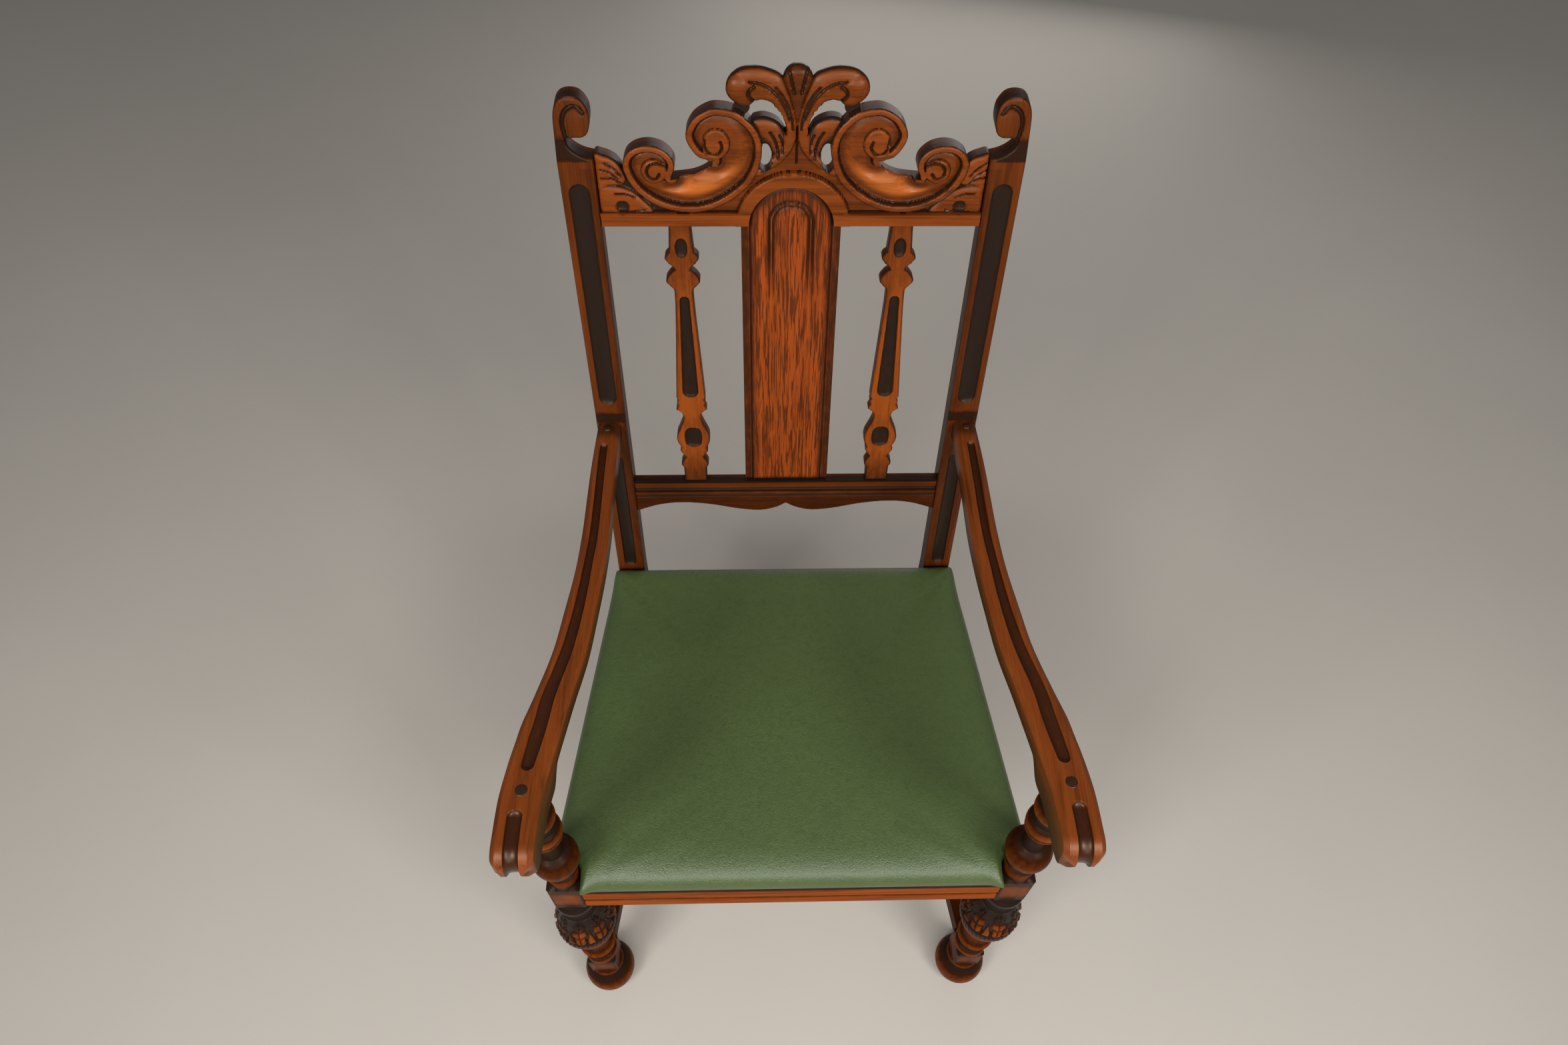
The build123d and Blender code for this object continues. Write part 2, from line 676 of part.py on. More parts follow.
# Crest rail: a band with an arch, scrolls, leaves and a palmette, pierced between them
with BuildPart() as crest_rail:
    with BuildSketch(back_at(crest_base)):
        Circle(arch_outer)
        # Scroll, from its outer curl round under the band, up to the large volute and back along its hollow
        with BuildLine():
            ThreePointArc((scroll_x(1), curl_mid), (scroll_x(0.514), crest_band),
                          (scroll_x(0), volute_back))
            ThreePointArc((scroll_x(0), volute_back), (scroll_x(0.066), volute_neck),
                          (scroll_x(0.294), volute_top))
            ThreePointArc((scroll_x(0.294), volute_top), (scroll_x(0.518), volute_mid),
                          (scroll_x(0.324), volute_foot))
            ThreePointArc((scroll_x(0.324), volute_foot), (scroll_x(0.438), sweep_mid),
                          (scroll_x(0.636), sweep_end))
            Line((scroll_x(0.636), sweep_end), (scroll_x(0.628), curl_end))
            ThreePointArc((scroll_x(0.628), curl_end), (scroll_x(0.818), curl_top), (scroll_x(1), curl_mid))
        make_face()
        # Leaf between the scroll and the post
        with BuildLine():
            leaf_tip = (post_inner - scroll_margin / 2, end_leaf_height + edge_break)
            leaf_root = (scroll_x(1), curl_mid)
            Polyline((scroll_x(0.8), 0), (post_inner, 0), (post_inner, end_leaf_height), leaf_tip)
            SagittaArc(leaf_tip, leaf_root, -edge_break)
            Line(leaf_root, (scroll_x(0.8), 0))
        make_face()
        # Panel over the arch, up to the lower leaf
        with BuildLine():
            Polyline((0, volute_mid), (0, 0), (scroll_x(0.2), 0), (scroll_x(0.05), volute_back),
                     (scroll_x(0.05), volute_neck))
            SagittaArc((scroll_x(0.05), volute_neck), (lobe_root, volute_mid), -lobe_root)
            Line((lobe_root, volute_mid), (0, volute_mid))
        make_face()
        # Palmette and lobe, on a stem
        with BuildLine():
            half = palmette_width / 2
            dip = (half, crest_height - 3 * lobe_top_drop)
            lobe_side = (lobe_reach, crest_height - lobe_side_drop)
            lobe_foot = (lobe_reach - half, crest_height - lobe_foot_drop)
            lobe_end = (lobe_foot[0] - half / 2, crest_height - lobe_end_drop)
            Line((0, volute_back), (0, crest_height))
            SagittaArc((0, crest_height), dip, lobe_top_drop)
            ThreePointArc(dip, ((half + lobe_reach) / 2, crest_height - lobe_top_drop), lobe_side)
            SagittaArc(lobe_side, lobe_foot, lobe_top_drop)
            Polyline(lobe_foot, (scroll_x(0.1), volute_neck), (scroll_x(0.06), volute_neck), lobe_end)
            ThreePointArc(lobe_end, ((lobe_root + lobe_end[0]) / 2, crest_height - lobe_arch_drop),
                          (lobe_root, crest_height - stem_drop))
            Polyline((lobe_root, crest_height - stem_drop), (lobe_root, volute_back), (0, volute_back))
        make_face()
        with Locations((scroll_inset - 0.7 * pierce_width, volute_back - pierce_height / 6)):
            Ellipse(pierce_width / 2, pierce_height / 2, mode=Mode.SUBTRACT)
        mirror(about=Plane.YZ)
        with Locations((0, crest_band / 2)):
            Rectangle(2 * post_inner, crest_band)
        with Locations((0, -arch_outer)):
            Rectangle(4 * arch_outer, 2 * arch_outer, mode=Mode.SUBTRACT)
        Circle(arch_inner, mode=Mode.SUBTRACT)
    extrude(amount=-crest_thickness)
    with BuildSketch(back_at(crest_base, splat_lip - fit)):
        Circle(splat_width / 2 + fit)
    extrude(amount=-crest_thickness, mode=Mode.SUBTRACT)
    for name, side in sides:
        back_tenon(side * post_inner, crest_tenon_mid, 2 * back_tenon_length, crest_tenon_height,
                   back_tenon_front)
        back_tenon(side * baluster_offset, crest_base, baluster_tenon_width, 2 * baluster_tenon_length,
                   baluster_tenon_front, fit, mode=Mode.SUBTRACT)
save(crest_rail, "crest_rail")

# Splat: a plate let in behind the crest, with a raised field that fills the arch
with BuildPart() as back_splat:
    splat_height = crest_base - lower_rail_top
    with BuildSketch(back_at(crest_base, splat_lip)):
        Circle(splat_width / 2)
        with Locations((0, -splat_height / 2)):
            Rectangle(splat_width, splat_height)
        with Locations((0, -splat_height - splat_width / 2)):
            Rectangle(splat_width, splat_width, mode=Mode.SUBTRACT)
    extrude(amount=-splat_plate)
    bar(back_plane, -splat_lip, -splat_lip - splat_plate / 2, 0, lower_rail_top - splat_tongue / 2,
        splat_tongue_width, splat_tongue)
    with BuildSketch(back_at(crest_base, splat_field_setback)):
        Circle(splat_field_width / 2)
        with Locations((0, -splat_height / 2)):
            Rectangle(splat_field_width, splat_height)
    extrude(amount=splat_field_setback - splat_lip)
    with BuildSketch(back_at(crest_base, splat_field_setback)):
        inner_width = splat_panel_width - 2 * splat_groove
        for width, mode in ((splat_panel_width, Mode.ADD), (inner_width, Mode.SUBTRACT)):
            Circle(width / 2, mode=mode)
            with Locations((0, -splat_height / 2)):
                Rectangle(width, splat_height, mode=mode)
    extrude(amount=-splat_groove_depth, mode=Mode.SUBTRACT)
save(back_splat, "back_splat")

# Balusters: flat fretted boards with hollowed faces
for name, side in sides:
    x = side * baluster_offset
    length = crest_base - lower_rail_top
    taper_base = rise(baluster_foot)
    taper_top = length - rise(baluster_head)
    with BuildPart() as baluster:
        with BuildSketch(back_at(lower_rail_top, baluster_setback)):
            with BuildLine():
                for edge in (-1, 1):
                    foot_start, foot_end = edge_line(x, 0, baluster_foot, edge)
                    head_start, head_end = edge_line(x, taper_top, baluster_head, edge)
                    Line(foot_end, head_start)
                    Line(foot_start, (x, 0))
                    Line(head_end, (x, length))
            make_face()
        extrude(amount=-baluster_thickness)
        with BuildSketch(back_at(lower_rail_top, baluster_setback)):
            with Locations((x, length - head_hollow_drop)):
                Ellipse(head_hollow_width / 2, head_hollow_height / 2)
            with Locations((x, foot_hollow_rise)):
                Ellipse(foot_hollow_width / 2, foot_hollow_height / 2)
            with BuildLine():
                low = taper_base + taper_hollow_low
                high = taper_top - taper_hollow_high
                narrow = taper_hollow_head / 2
                wide = taper_hollow_foot / 2
                Line((x - wide, low), (x - narrow, high))
                ThreePointArc((x - narrow, high), (x, high + narrow), (x + narrow, high))
                Line((x + narrow, high), (x + wide, low))
                SagittaArc((x + wide, low), (x - wide, low), wide * 0.9)
            make_face()
        extrude(amount=-recess_depth, mode=Mode.SUBTRACT)
        for end in (lower_rail_top - baluster_tenon_length / 2, crest_base + baluster_tenon_length / 2):
            back_tenon(x, end, baluster_tenon_width, baluster_tenon_length, baluster_tenon_front)
    save(baluster, f"{name}_back_baluster")

# Arms: a curved plan cut to the side view, with a groove on top and over the hand
nose_radius = hand_thickness / 2
nose_mid = arm_nose_y + nose_radius
hand_back = leg_y + hand_length
sweep_back = hand_back + hand_sweep
arm_plane = Plane(origin=(0, leg_y, arm_front_top), x_dir=(1, 0, 0), z_dir=(0, -arm_slope, 1))
groove_start = arm_groove_margin
groove_end = arm_rear_y - leg_y - arm_groove_margin
for name, side in sides:
    with BuildPart() as arm:
        with BuildSketch(Plane.XY.offset(arm_under)) as plan:
            with BuildLine():
                outer, inner = [
                    Spline(*[
                        (side * (arm_middle(y) + edge * arm_width(y) / 2), y)
                        for y in [
                            arm_rear_y + (arm_nose_y - arm_rear_y) * step / arm_stations
                            for step in range(arm_stations + 1)
                        ]
                    ])
                    for edge in (1, -1)
                ]
                Line(outer @ 0, inner @ 0)
                Line(outer @ 1, inner @ 1)
            make_face()
            fillet(plan.vertices().group_by(Axis.Y)[0], nose_corner)
        extrude(amount=hand_thickness + arm_rise)
        with BuildSketch(Plane.YZ):
            with BuildLine():
                Polyline(
                    (nose_mid, arm_top(nose_mid)), (arm_rear_y, arm_rear_top),
                    (post_front(arm_rear_top - arm_thickness), arm_rear_top - arm_thickness),
                    (sweep_back, arm_top(sweep_back) - arm_thickness),
                )
                SagittaArc((sweep_back, arm_top(sweep_back) - arm_thickness), (hand_back, arm_under),
                           hand_sweep / 6)
                Line((hand_back, arm_under), (nose_mid, arm_under))
                ThreePointArc((nose_mid, arm_under), (arm_nose_y, arm_under + nose_radius),
                              (nose_mid, arm_top(nose_mid)))
            make_face()
        extrude(amount=leg_spread, both=True, mode=Mode.INTERSECT)
        with BuildSketch(arm_plane):
            with BuildLine():
                front_x = arm_middle(leg_y + groove_start)
                rear_x = arm_middle(leg_y + groove_end)
                edges = []
                for edge in (1, -1):
                    edges.append(Spline(*[
                        (side * (arm_middle(leg_y + run) + edge * width / 2), run)
                        for run, width in (
                            (groove_start, arm_groove_front),
                            (groove_start + arm_groove_run, arm_groove_front),
                            ((groove_start + groove_end) / 2, arm_groove_rear),
                            (groove_end - arm_groove_run, arm_groove_rear), (groove_end, arm_groove_rear),
                        )
                    ]))
                front_end = (side * front_x, groove_start - arm_groove_front / 3)
                rear_end = (side * rear_x, groove_end + arm_groove_rear / 3)
                ThreePointArc(edges[0] @ 0, front_end, edges[1] @ 0)
                ThreePointArc(edges[0] @ 1, rear_end, edges[1] @ 1)
            make_face()
        extrude(amount=-arm_groove_depth, mode=Mode.SUBTRACT)
        rod(plug_plane[side], -plug_thickness - screw_head_height - fit, hand_thickness, plug_radius + fit,
            mode=Mode.SUBTRACT)
        rod(plug_plane[side], -hand_thickness - screw_grip, 0, screw_radius + fit, mode=Mode.SUBTRACT)
        rod(Plane(origin=(side * leg_x, leg_y, arm_under)), -fit, post_pin_length + fit,
            post_pin_radius + fit, mode=Mode.SUBTRACT)
        rod(dowel_plane[side], -dowel_grip - fit, dowel_depth, dowel_radius + fit, mode=Mode.SUBTRACT)
        rod(peg_plane[side], -peg_length - fit, arm_thickness, peg_radius + fit, mode=Mode.SUBTRACT)
        # Groove over the nose
        with BuildSketch(Plane.YZ.offset(side * arm_middle(nose_mid) - arm_groove_front / 2)):
            with BuildLine():
                low = (nose_mid, arm_under - fit)
                high = (nose_mid, arm_top(nose_mid) + fit)
                deep_low = (nose_mid, arm_under + arm_groove_depth)
                deep_high = (nose_mid, arm_top(nose_mid) - arm_groove_depth)
                ThreePointArc(low, (arm_nose_y - fit, arm_under + nose_radius), high)
                Line(high, (leg_y - arm_groove_margin, arm_top(leg_y)))
                Line((leg_y - arm_groove_margin, arm_top(leg_y)), deep_high)
                ThreePointArc(deep_high, (arm_nose_y + arm_groove_depth, arm_under + nose_radius), deep_low)
                Line(deep_low, low)
            make_face()
        extrude(amount=arm_groove_front, mode=Mode.SUBTRACT)
    save(arm, f"{name}_arm")

# Wooden plugs over the front legs
with BuildPart() as arm_front_plugs:
    for name, side in sides:
        rod(plug_plane[side], -plug_thickness, 0, plug_radius)
save(arm_front_plugs, "arm_front_plugs")

# Screws under the plugs, through the arms into the legs
with BuildPart() as arm_front_screws:
    for name, side in sides:
        rod(plug_plane[side], -plug_thickness - screw_head_height, -plug_thickness, screw_head_radius)
        rod(plug_plane[side], -hand_thickness - screw_grip + fit, -plug_thickness, screw_radius)
save(arm_front_screws, "arm_front_screws")

# Dowels from the arms into the rear posts, bored across for the pegs
with BuildPart() as arm_rear_dowels:
    for name, side in sides:
        rod(dowel_plane[side], -dowel_grip, dowel_depth, dowel_radius)
        rod(peg_plane[side], -arm_thickness, 0, peg_radius + fit, mode=Mode.SUBTRACT)
save(arm_rear_dowels, "arm_rear_dowels")

# Pegs through the arms and their dowels
with BuildPart() as arm_rear_pegs:
    for name, side in sides:
        rod(peg_plane[side], -peg_length, 0, peg_radius)
save(arm_rear_pegs, "arm_rear_pegs")

# Corner blocks, screwed to the rails and bored for the seat screws
def rail_inner(y):
    """Distance from the middle of the chair to the inner face of a side rail at a place y."""
    return side_line(y) - rail_thickness / 2


front_x = leg_x - block / 2 - corner_gap
front_y = block_back + corner_gap
rear_x = post_inner - corner_gap
rear_y = post_y - corner_gap
corner_plans = {
    "front": [
        (front_x, front_rail_back), (front_x - corner_block_reach, front_rail_back),
        (rail_inner(front_y + corner_block_reach), front_y + corner_block_reach),
        (rail_inner(front_y), front_y),
    ],
    "rear": [
        (rear_x, rear_rail_front), (rear_x - corner_block_reach, rear_rail_front),
        (rail_inner(rear_y - corner_block_reach), rear_y - corner_block_reach),
        (rail_inner(rear_y), rear_y),
    ],
}
seat_screws_at = [
    (side * sum(x for x, y in plan) / len(plan), sum(y for x, y in plan) / len(plan))
    for plan in corner_plans.values() for name, side in sides
]
seat_screw_plane = Plane.XY.offset(block_top)
rail_screws = [*front_rail_screws, *rear_rail_screws, *side_rail_screws[-1], *side_rail_screws[1]]


def seat_holes(start, end, radius, mode):
    """Rods or holes at the four seat screws, between two heights above the tops of the corner blocks."""
    with BuildSketch(seat_screw_plane.offset(start)) as section:
        with Locations(*seat_screws_at):
            Circle(radius)
    extrude(section.sketch, amount=end - start, mode=mode)


for place, plan in corner_plans.items():
    for name, side in sides:
        with BuildPart() as corner_block:
            with BuildSketch(Plane.XY.offset(block_base)):
                with BuildLine():
                    Polyline(*[(side * x, y) for x, y in plan], close=True)
                make_face()
            extrude(amount=corner_block_height)
            for plane in rail_screws:
                rod(plane, 0, block_screw_seat, screw_radius + fit, mode=Mode.SUBTRACT)
                rod(plane, block_screw_seat, 2 * corner_block_reach, screw_head_radius + fit,
                    mode=Mode.SUBTRACT)
            seat_holes(-corner_block_height, 0, screw_radius + fit, Mode.SUBTRACT)
            seat_holes(-corner_block_height, -seat_screw_seat, screw_head_radius + fit, Mode.SUBTRACT)
        save(corner_block, f"{name}_{place}_corner_block")

# Screws of the corner blocks
with BuildPart() as corner_block_screws:
    for plane in rail_screws:
        rod(plane, -screw_grip, block_screw_seat, screw_radius)
        rod(plane, block_screw_seat, block_screw_seat + screw_head_height, screw_head_radius)
save(corner_block_screws, "corner_block_screws")

# Screws that hold the seat
seat_screw_tip = corner_block_drop + cover_thickness + seat_screw_grip
with BuildPart() as seat_screws:
    seat_holes(-seat_screw_seat, seat_screw_tip, screw_radius, Mode.ADD)
    seat_holes(-seat_screw_seat - screw_head_height, -seat_screw_seat, screw_head_radius, Mode.ADD)
save(seat_screws, "seat_screws")

# Outline of the seat
seat_front = block_front - seat_overhang_front
seat_rear = post_y - pad_gap
notch_x = leg_x - block / 2 - notch_gap
notch_y = block_back + notch_gap
# Along the seat from front to rear: (place, share of the full edge height, share of the crown)
end_lift = (board_thickness + 2 * cover_thickness + foam_gap) / seat_edge
seat_sections = [
    (seat_front, end_lift, 0.2), (seat_front + seat_roll / 8, 0.75, 0.35),
    (seat_front + seat_roll / 3, 0.92, 0.55), (seat_front + seat_roll, 1.0, 0.75),
    (seat_front + 3 * seat_roll, 1.0, 0.95),
    (seat_rear - 3 * seat_roll, 1.0, 0.95), (seat_rear - seat_roll, 1.0, 0.7),
    (seat_rear - seat_roll / 3, 0.88, 0.45), (seat_rear - seat_roll / 8, 0.7, 0.3),
    (seat_rear, end_lift, 0.2),
]


def seat_half(y):
    """Half the width of the seat at a place y."""
    front = leg_x + seat_front_overhang
    rear = post_x + seat_rear_overhang
    return front + (rear - front) * (y - leg_y) / (post_y - leg_y)


def inset_y(y, inset):
    """A place along the seat, drawn in from both ends by an inset."""
    return y + inset * (1 - 2 * (y - seat_front) / (seat_rear - seat_front))


def seat_plan(inset):
    """Plan of the seat, notched round the front legs and drawn in by an inset."""
    front = seat_front + inset
    rear = seat_rear - inset
    near = notch_y + inset
    half = [(notch_x - inset, front), (notch_x - inset, near), (seat_half(near) - inset, near),
            (seat_half(rear) - inset, rear)]
    with BuildSketch() as plan:
        with BuildLine():
            Polyline(*half, *[(-x, y) for x, y in reversed(half)], close=True)
        make_face()
    return plan.sketch


def seat_form(inset):
    """The seat's crowned form with drawn-in sides, notched round the front legs, drawn in by an inset."""
    with BuildPart() as form:
        for y, lift, crown in seat_sections:
            place = inset_y(y, inset)
            half = seat_half(place) - inset
            low = rail_top + inset
            side_top = rail_top + lift * seat_edge - inset
            shoulder = side_top + lift * seat_shoulder
            inner = half - lift * seat_shoulder
            with BuildSketch(Plane.XZ.offset(-place)):
                with BuildLine():
                    Polyline((-half, side_top), (-half, low), (half, low), (half, side_top))
                    SagittaArc((half, side_top), (inner, shoulder), -lift * seat_shoulder / 5)
                    ThreePointArc((inner, shoulder), (0, shoulder + crown * seat_crown), (-inner, shoulder))
                    SagittaArc((-inner, shoulder), (-half, side_top), -lift * seat_shoulder / 5)
                make_face()
        loft(ruled=True)
        outline = seat_plan(inset)
        extrude(Plane.XY.offset(rail_top) * outline, amount=3 * seat_edge, mode=Mode.INTERSECT)
    return form.part


def staples(grow, mode):
    """Wire staples under the flange of the cover, grown by a clearance for their holes."""
    wire = staple_wire + 2 * grow
    middle = (seat_front + seat_rear) / 2
    places = []
    for step in range(staple_count):
        share = 2 * step / (staple_count - 1) - 1
        along_x = share * (post_inner - 2 * staple_inset)
        along_y = middle + share * (seat_depth / 2 - 2 * staple_inset)
        places.append((along_x, seat_front + staple_inset, 0))
        places.append((along_x, seat_rear - staple_inset, 0))
        for name, side in sides:
            places.append((side * (seat_half(along_y) - staple_inset), along_y, 90))
    for x, y, turn in places:
        with Locations(Location((x, y, rail_top), (0, 0, turn))):
            with Locations((0, 0, -staple_wire / 2)):
                Box(staple_width + 2 * grow, wire, wire, mode=mode)
            with Locations(((staple_wire - staple_width) / 2, 0), ((staple_width - staple_wire) / 2, 0)):
                Box(wire, wire, staple_leg + grow, align=bottom, mode=mode)


lining = cover_thickness + foam_gap
board_base = rail_top + cover_thickness
board_top = board_base + board_thickness

# Seat board
with BuildPart() as seat_board:
    extrude(Plane.XY.offset(board_base) * seat_plan(lining), amount=board_thickness)
    seat_holes(0, seat_screw_tip + fit, screw_radius + fit, Mode.SUBTRACT)
    staples(fit, Mode.SUBTRACT)
save(seat_board, "seat_board")

# Foam on the board
with BuildPart() as seat_foam:
    add(seat_form(lining))
    extrude(Plane.XY.offset(rail_top) * seat_plan(0), amount=board_top - rail_top, mode=Mode.SUBTRACT)
save(seat_foam, "seat_foam")

# Vinyl cover, turned in under the board
with BuildPart() as seat_cover:
    add(seat_form(0))
    add(seat_form(cover_thickness), mode=Mode.SUBTRACT)
    extrude(Plane.XY.offset(rail_top) * seat_plan(cover_flange), amount=cover_thickness, mode=Mode.SUBTRACT)
    seat_holes(0, seat_screw_tip, screw_radius + fit, Mode.SUBTRACT)
    staples(fit, Mode.SUBTRACT)
save(seat_cover, "seat_cover")

# Staples
with BuildPart() as seat_staples:
    staples(0, Mode.ADD)
save(seat_staples, "seat_staples")
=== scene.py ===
"""Carved armchair: the finish, the carving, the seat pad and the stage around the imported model."""

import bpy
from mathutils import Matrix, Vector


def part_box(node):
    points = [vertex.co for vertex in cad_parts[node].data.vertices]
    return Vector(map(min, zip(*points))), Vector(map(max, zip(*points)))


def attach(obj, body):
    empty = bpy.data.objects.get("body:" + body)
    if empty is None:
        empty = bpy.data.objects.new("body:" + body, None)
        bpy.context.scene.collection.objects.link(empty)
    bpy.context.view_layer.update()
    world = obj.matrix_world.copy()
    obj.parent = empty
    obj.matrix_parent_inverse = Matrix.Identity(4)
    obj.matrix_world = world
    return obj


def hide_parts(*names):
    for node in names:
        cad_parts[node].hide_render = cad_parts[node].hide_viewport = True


bl_info = {
    "name": "Carved Armchair",
    "version": (1, 0, 0),
    "blender": (4, 5, 0),
    "location": "View3D > Sidebar > Armchair",
    "description": "Carves, upholsters and polishes the packed model of an armchair",
    "category": "Add Mesh",
}

import math

import bpy
import numpy as np
from bpy.props import FloatProperty, FloatVectorProperty
from mathutils import Matrix, Vector

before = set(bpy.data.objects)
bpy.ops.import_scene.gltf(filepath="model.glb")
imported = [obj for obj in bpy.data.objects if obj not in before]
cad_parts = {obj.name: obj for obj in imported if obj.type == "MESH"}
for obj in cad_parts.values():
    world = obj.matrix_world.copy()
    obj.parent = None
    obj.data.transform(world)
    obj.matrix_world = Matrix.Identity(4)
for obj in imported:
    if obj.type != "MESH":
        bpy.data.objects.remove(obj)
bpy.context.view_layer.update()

# Shapes are worked out in millimetres and put into meshes in metres
MM = 0.001


def box_mm(node):
    """Lowest and highest corner of a node, in millimetres."""
    low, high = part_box(node)
    return np.array(low) / MM, np.array(high) / MM


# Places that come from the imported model
leg_low, leg_high = box_mm("right_front_leg")
leg_x = (leg_low[0] + leg_high[0]) / 2
leg_y = (leg_low[1] + leg_high[1]) / 2
rail_low, rail_high = box_mm("front_seat_rail")
rail_base, rail_top = rail_low[2], rail_high[2]
post_low, post_high = box_mm("right_rear_post")
post_inner, post_outer = post_low[0], post_high[0]
post_depth = 27.0
post_y = box_mm("rear_seat_rail")[0][1]
block_top = rail_top + 4.0
block_base = rail_base - 7.0
block_half = 20.0
arm_low, arm_high = box_mm("right_arm")
arm_nose, arm_rear = arm_low[1], arm_high[1]
arm_under = arm_low[2]

# The back leans; "up" runs along its slope from the top of the seat blocks
rake = math.radians(8.5)
slope = 1 / math.cos(rake)


def on_back(x, up, depth):
    """Point of the leaning back: up the slope, and depth behind the front of the posts."""
    y = post_y + up * math.sin(rake) + depth * math.cos(rake)
    z = block_top + up * math.cos(rake) - depth * math.sin(rake)
    return np.stack([x, y, z], axis=-1)


def up_at(z):
    """Way up the slope to a height above the floor."""
    return (z - block_top) * slope


class ArmchairSizes(bpy.types.PropertyGroup):
    """Sizes of the carving and the seat that a user would change."""

    carving_step: FloatProperty(
        name="Carving step", description="Distance between the points of a carved face",
        default=0.001, min=0.0005, unit="LENGTH")
    rim_width: FloatProperty(
        name="Rim width", description="Width of the bead that runs round the C-scrolls",
        default=0.0066, unit="LENGTH")
    scroll_hollow: FloatProperty(
        name="Scroll hollow", description="Depth of the hollow inside the C-scrolls",
        default=0.0075, unit="LENGTH")
    ground_depth: FloatProperty(
        name="Ground depth", description="Depth of the ground behind the crest's ornament",
        default=0.006, unit="LENGTH")
    flute_depth: FloatProperty(
        name="Flute depth", description="Depth of the hollow flutes in the rear posts",
        default=0.0036, unit="LENGTH")
    fret_depth: FloatProperty(
        name="Fret depth", description="Depth of the hollows in the balusters",
        default=0.0034, unit="LENGTH")
    arm_groove_depth: FloatProperty(
        name="Arm groove depth", description="Depth of the groove on top of the arms",
        default=0.0042, unit="LENGTH")
    nose_groove_depth: FloatProperty(
        name="Nose groove depth", description="Depth of the groove over the nose of the arms",
        default=0.0048, unit="LENGTH")
    arm_chamfer: FloatProperty(
        name="Arm chamfer", description="Width of the bevel along the top edges of the arms",
        default=0.005, unit="LENGTH")
    leaf_relief: FloatProperty(
        name="Leaf relief", description="Height of the leaves carved on the leg cups",
        default=0.0032, unit="LENGTH")
    seat_swell: FloatProperty(
        name="Seat swell", description="Rise of the seat's highest point as it is filled",
        default=0.005, unit="LENGTH")


class ArmchairColours(bpy.types.PropertyGroup):
    """Colours of the finishes and of the floor."""

    # Walnut where the polish wears thin, and also the colour of the painted sheen on the crest's C-scrolls
    polish_worn_and_sheen: FloatVectorProperty(
        name="Polish, worn", description="Walnut where the polish is rubbed thin",
        subtype="COLOR", default=(0.70, 0.18, 0.034))
    polish_light: FloatVectorProperty(
        name="Polish, light grain", description="Light grain of the walnut",
        subtype="COLOR", default=(0.29, 0.062, 0.0078))
    polish_mid: FloatVectorProperty(
        name="Polish", description="Walnut on open faces",
        subtype="COLOR", default=(0.20, 0.0415, 0.0047))
    polish_dark: FloatVectorProperty(
        name="Polish, dark grain", description="Dark grain of the walnut",
        subtype="COLOR", default=(0.06, 0.0135, 0.003))
    # Near-black stain, and also the colour of the painted shade on the front rail under the seat and beside
    # the scrolls' bead
    stain: FloatVectorProperty(
        name="Stain", description="Near-black stain in hollows and on carved edges",
        subtype="COLOR", default=(0.0125, 0.0078, 0.0055))
    oak_light: FloatVectorProperty(
        name="Oak", description="Light wood of the oak splat",
        subtype="COLOR", default=(0.285, 0.050, 0.0055))
    oak_dark: FloatVectorProperty(
        name="Oak grain", description="Dark streaks of the oak splat",
        subtype="COLOR", default=(0.045, 0.0105, 0.003))
    vinyl: FloatVectorProperty(
        name="Vinyl", description="Green of the seat cover",
        subtype="COLOR", default=(0.052, 0.079, 0.0205))
    floor: FloatVectorProperty(
        name="Floor", description="Pale floor under the chair",
        subtype="COLOR", default=(0.46, 0.42, 0.365))


# Curves and distances


def ease(t):
    """Smooth step from 0 to 1: 3t^2 - 2t^3."""
    t = np.clip(t, 0.0, 1.0)
    return t * t * (3 - 2 * t)


def smooth_line(points, closed=False, steps=6):
    """Curve through points: a cubic between each two, with slopes from their neighbours.

    Each cubic is a Hermite curve over the square root of the chord, which keeps it from overshooting.
    """
    p = np.asarray(points, float)
    if closed:
        p = np.concatenate([p[-1:], p, p[:2]])
    else:
        p = np.concatenate([2 * p[:1] - p[1:2], p, 2 * p[-1:] - p[-2:-1]])
    chord = np.sqrt(np.linalg.norm(np.diff(p, axis=0), axis=1)) + 1e-9
    knot = np.concatenate([[0], np.cumsum(chord)])
    slopes = (p[2:] - p[:-2]) / (knot[2:] - knot[:-2])[:, None]
    t = (np.arange(steps) / steps)[None, :, None]
    span = chord[1:-1, None, None]
    a, b = p[1:-2, None], p[2:-1, None]
    ma, mb = slopes[:-1, None] * span, slopes[1:, None] * span
    curve = (2*t**3 - 3*t**2 + 1) * a + (t**3 - 2*t**2 + t) * ma + (3*t**2 - 2*t**3) * b + (t**3 - t**2) * mb
    line = curve.reshape(-1, p.shape[1])
    return line if closed else np.concatenate([line, p[-2:-1]])


def line_distance(x, y, line):
    """Distance from each point to a line of straight stretches."""
    best = np.full(x.shape, np.inf)
    for (ax, ay), (bx, by) in zip(line[:-1], line[1:]):
        dx, dy = bx - ax, by - ay
        length = max(dx * dx + dy * dy, 1e-9)
        t = np.clip(((x - ax) * dx + (y - ay) * dy) / length, 0, 1)
        best = np.minimum(best, (x - ax - t * dx) ** 2 + (y - ay - t * dy) ** 2)
    return np.sqrt(best)


def outline_distance(x, y, outline):
    """Distance to a closed outline, below 0 inside it (an even-odd count of crossings)."""
    ring = np.concatenate([outline, outline[:1]])
    inside = np.zeros(x.shape, bool)
    for (ax, ay), (bx, by) in zip(ring[:-1], ring[1:]):
        if ay != by:
            crosses = ((ay > y) != (by > y)) & (x < (bx - ax) * (y - ay) / (by - ay) + ax)
            inside ^= crosses
    far = line_distance(x, y, ring)
    return np.where(inside, -far, far)


def box_distance(x, y, x0, x1, y0, y1):
    """Distance to an upright box, below 0 inside."""
    return np.maximum(np.maximum(x0 - x, x - x1), np.maximum(y0 - y, y - y1))


def disc_distance(x, y, cx, cy, radius):
    """Distance to a disc, below 0 inside."""
    return np.hypot(x - cx, y - cy) - radius


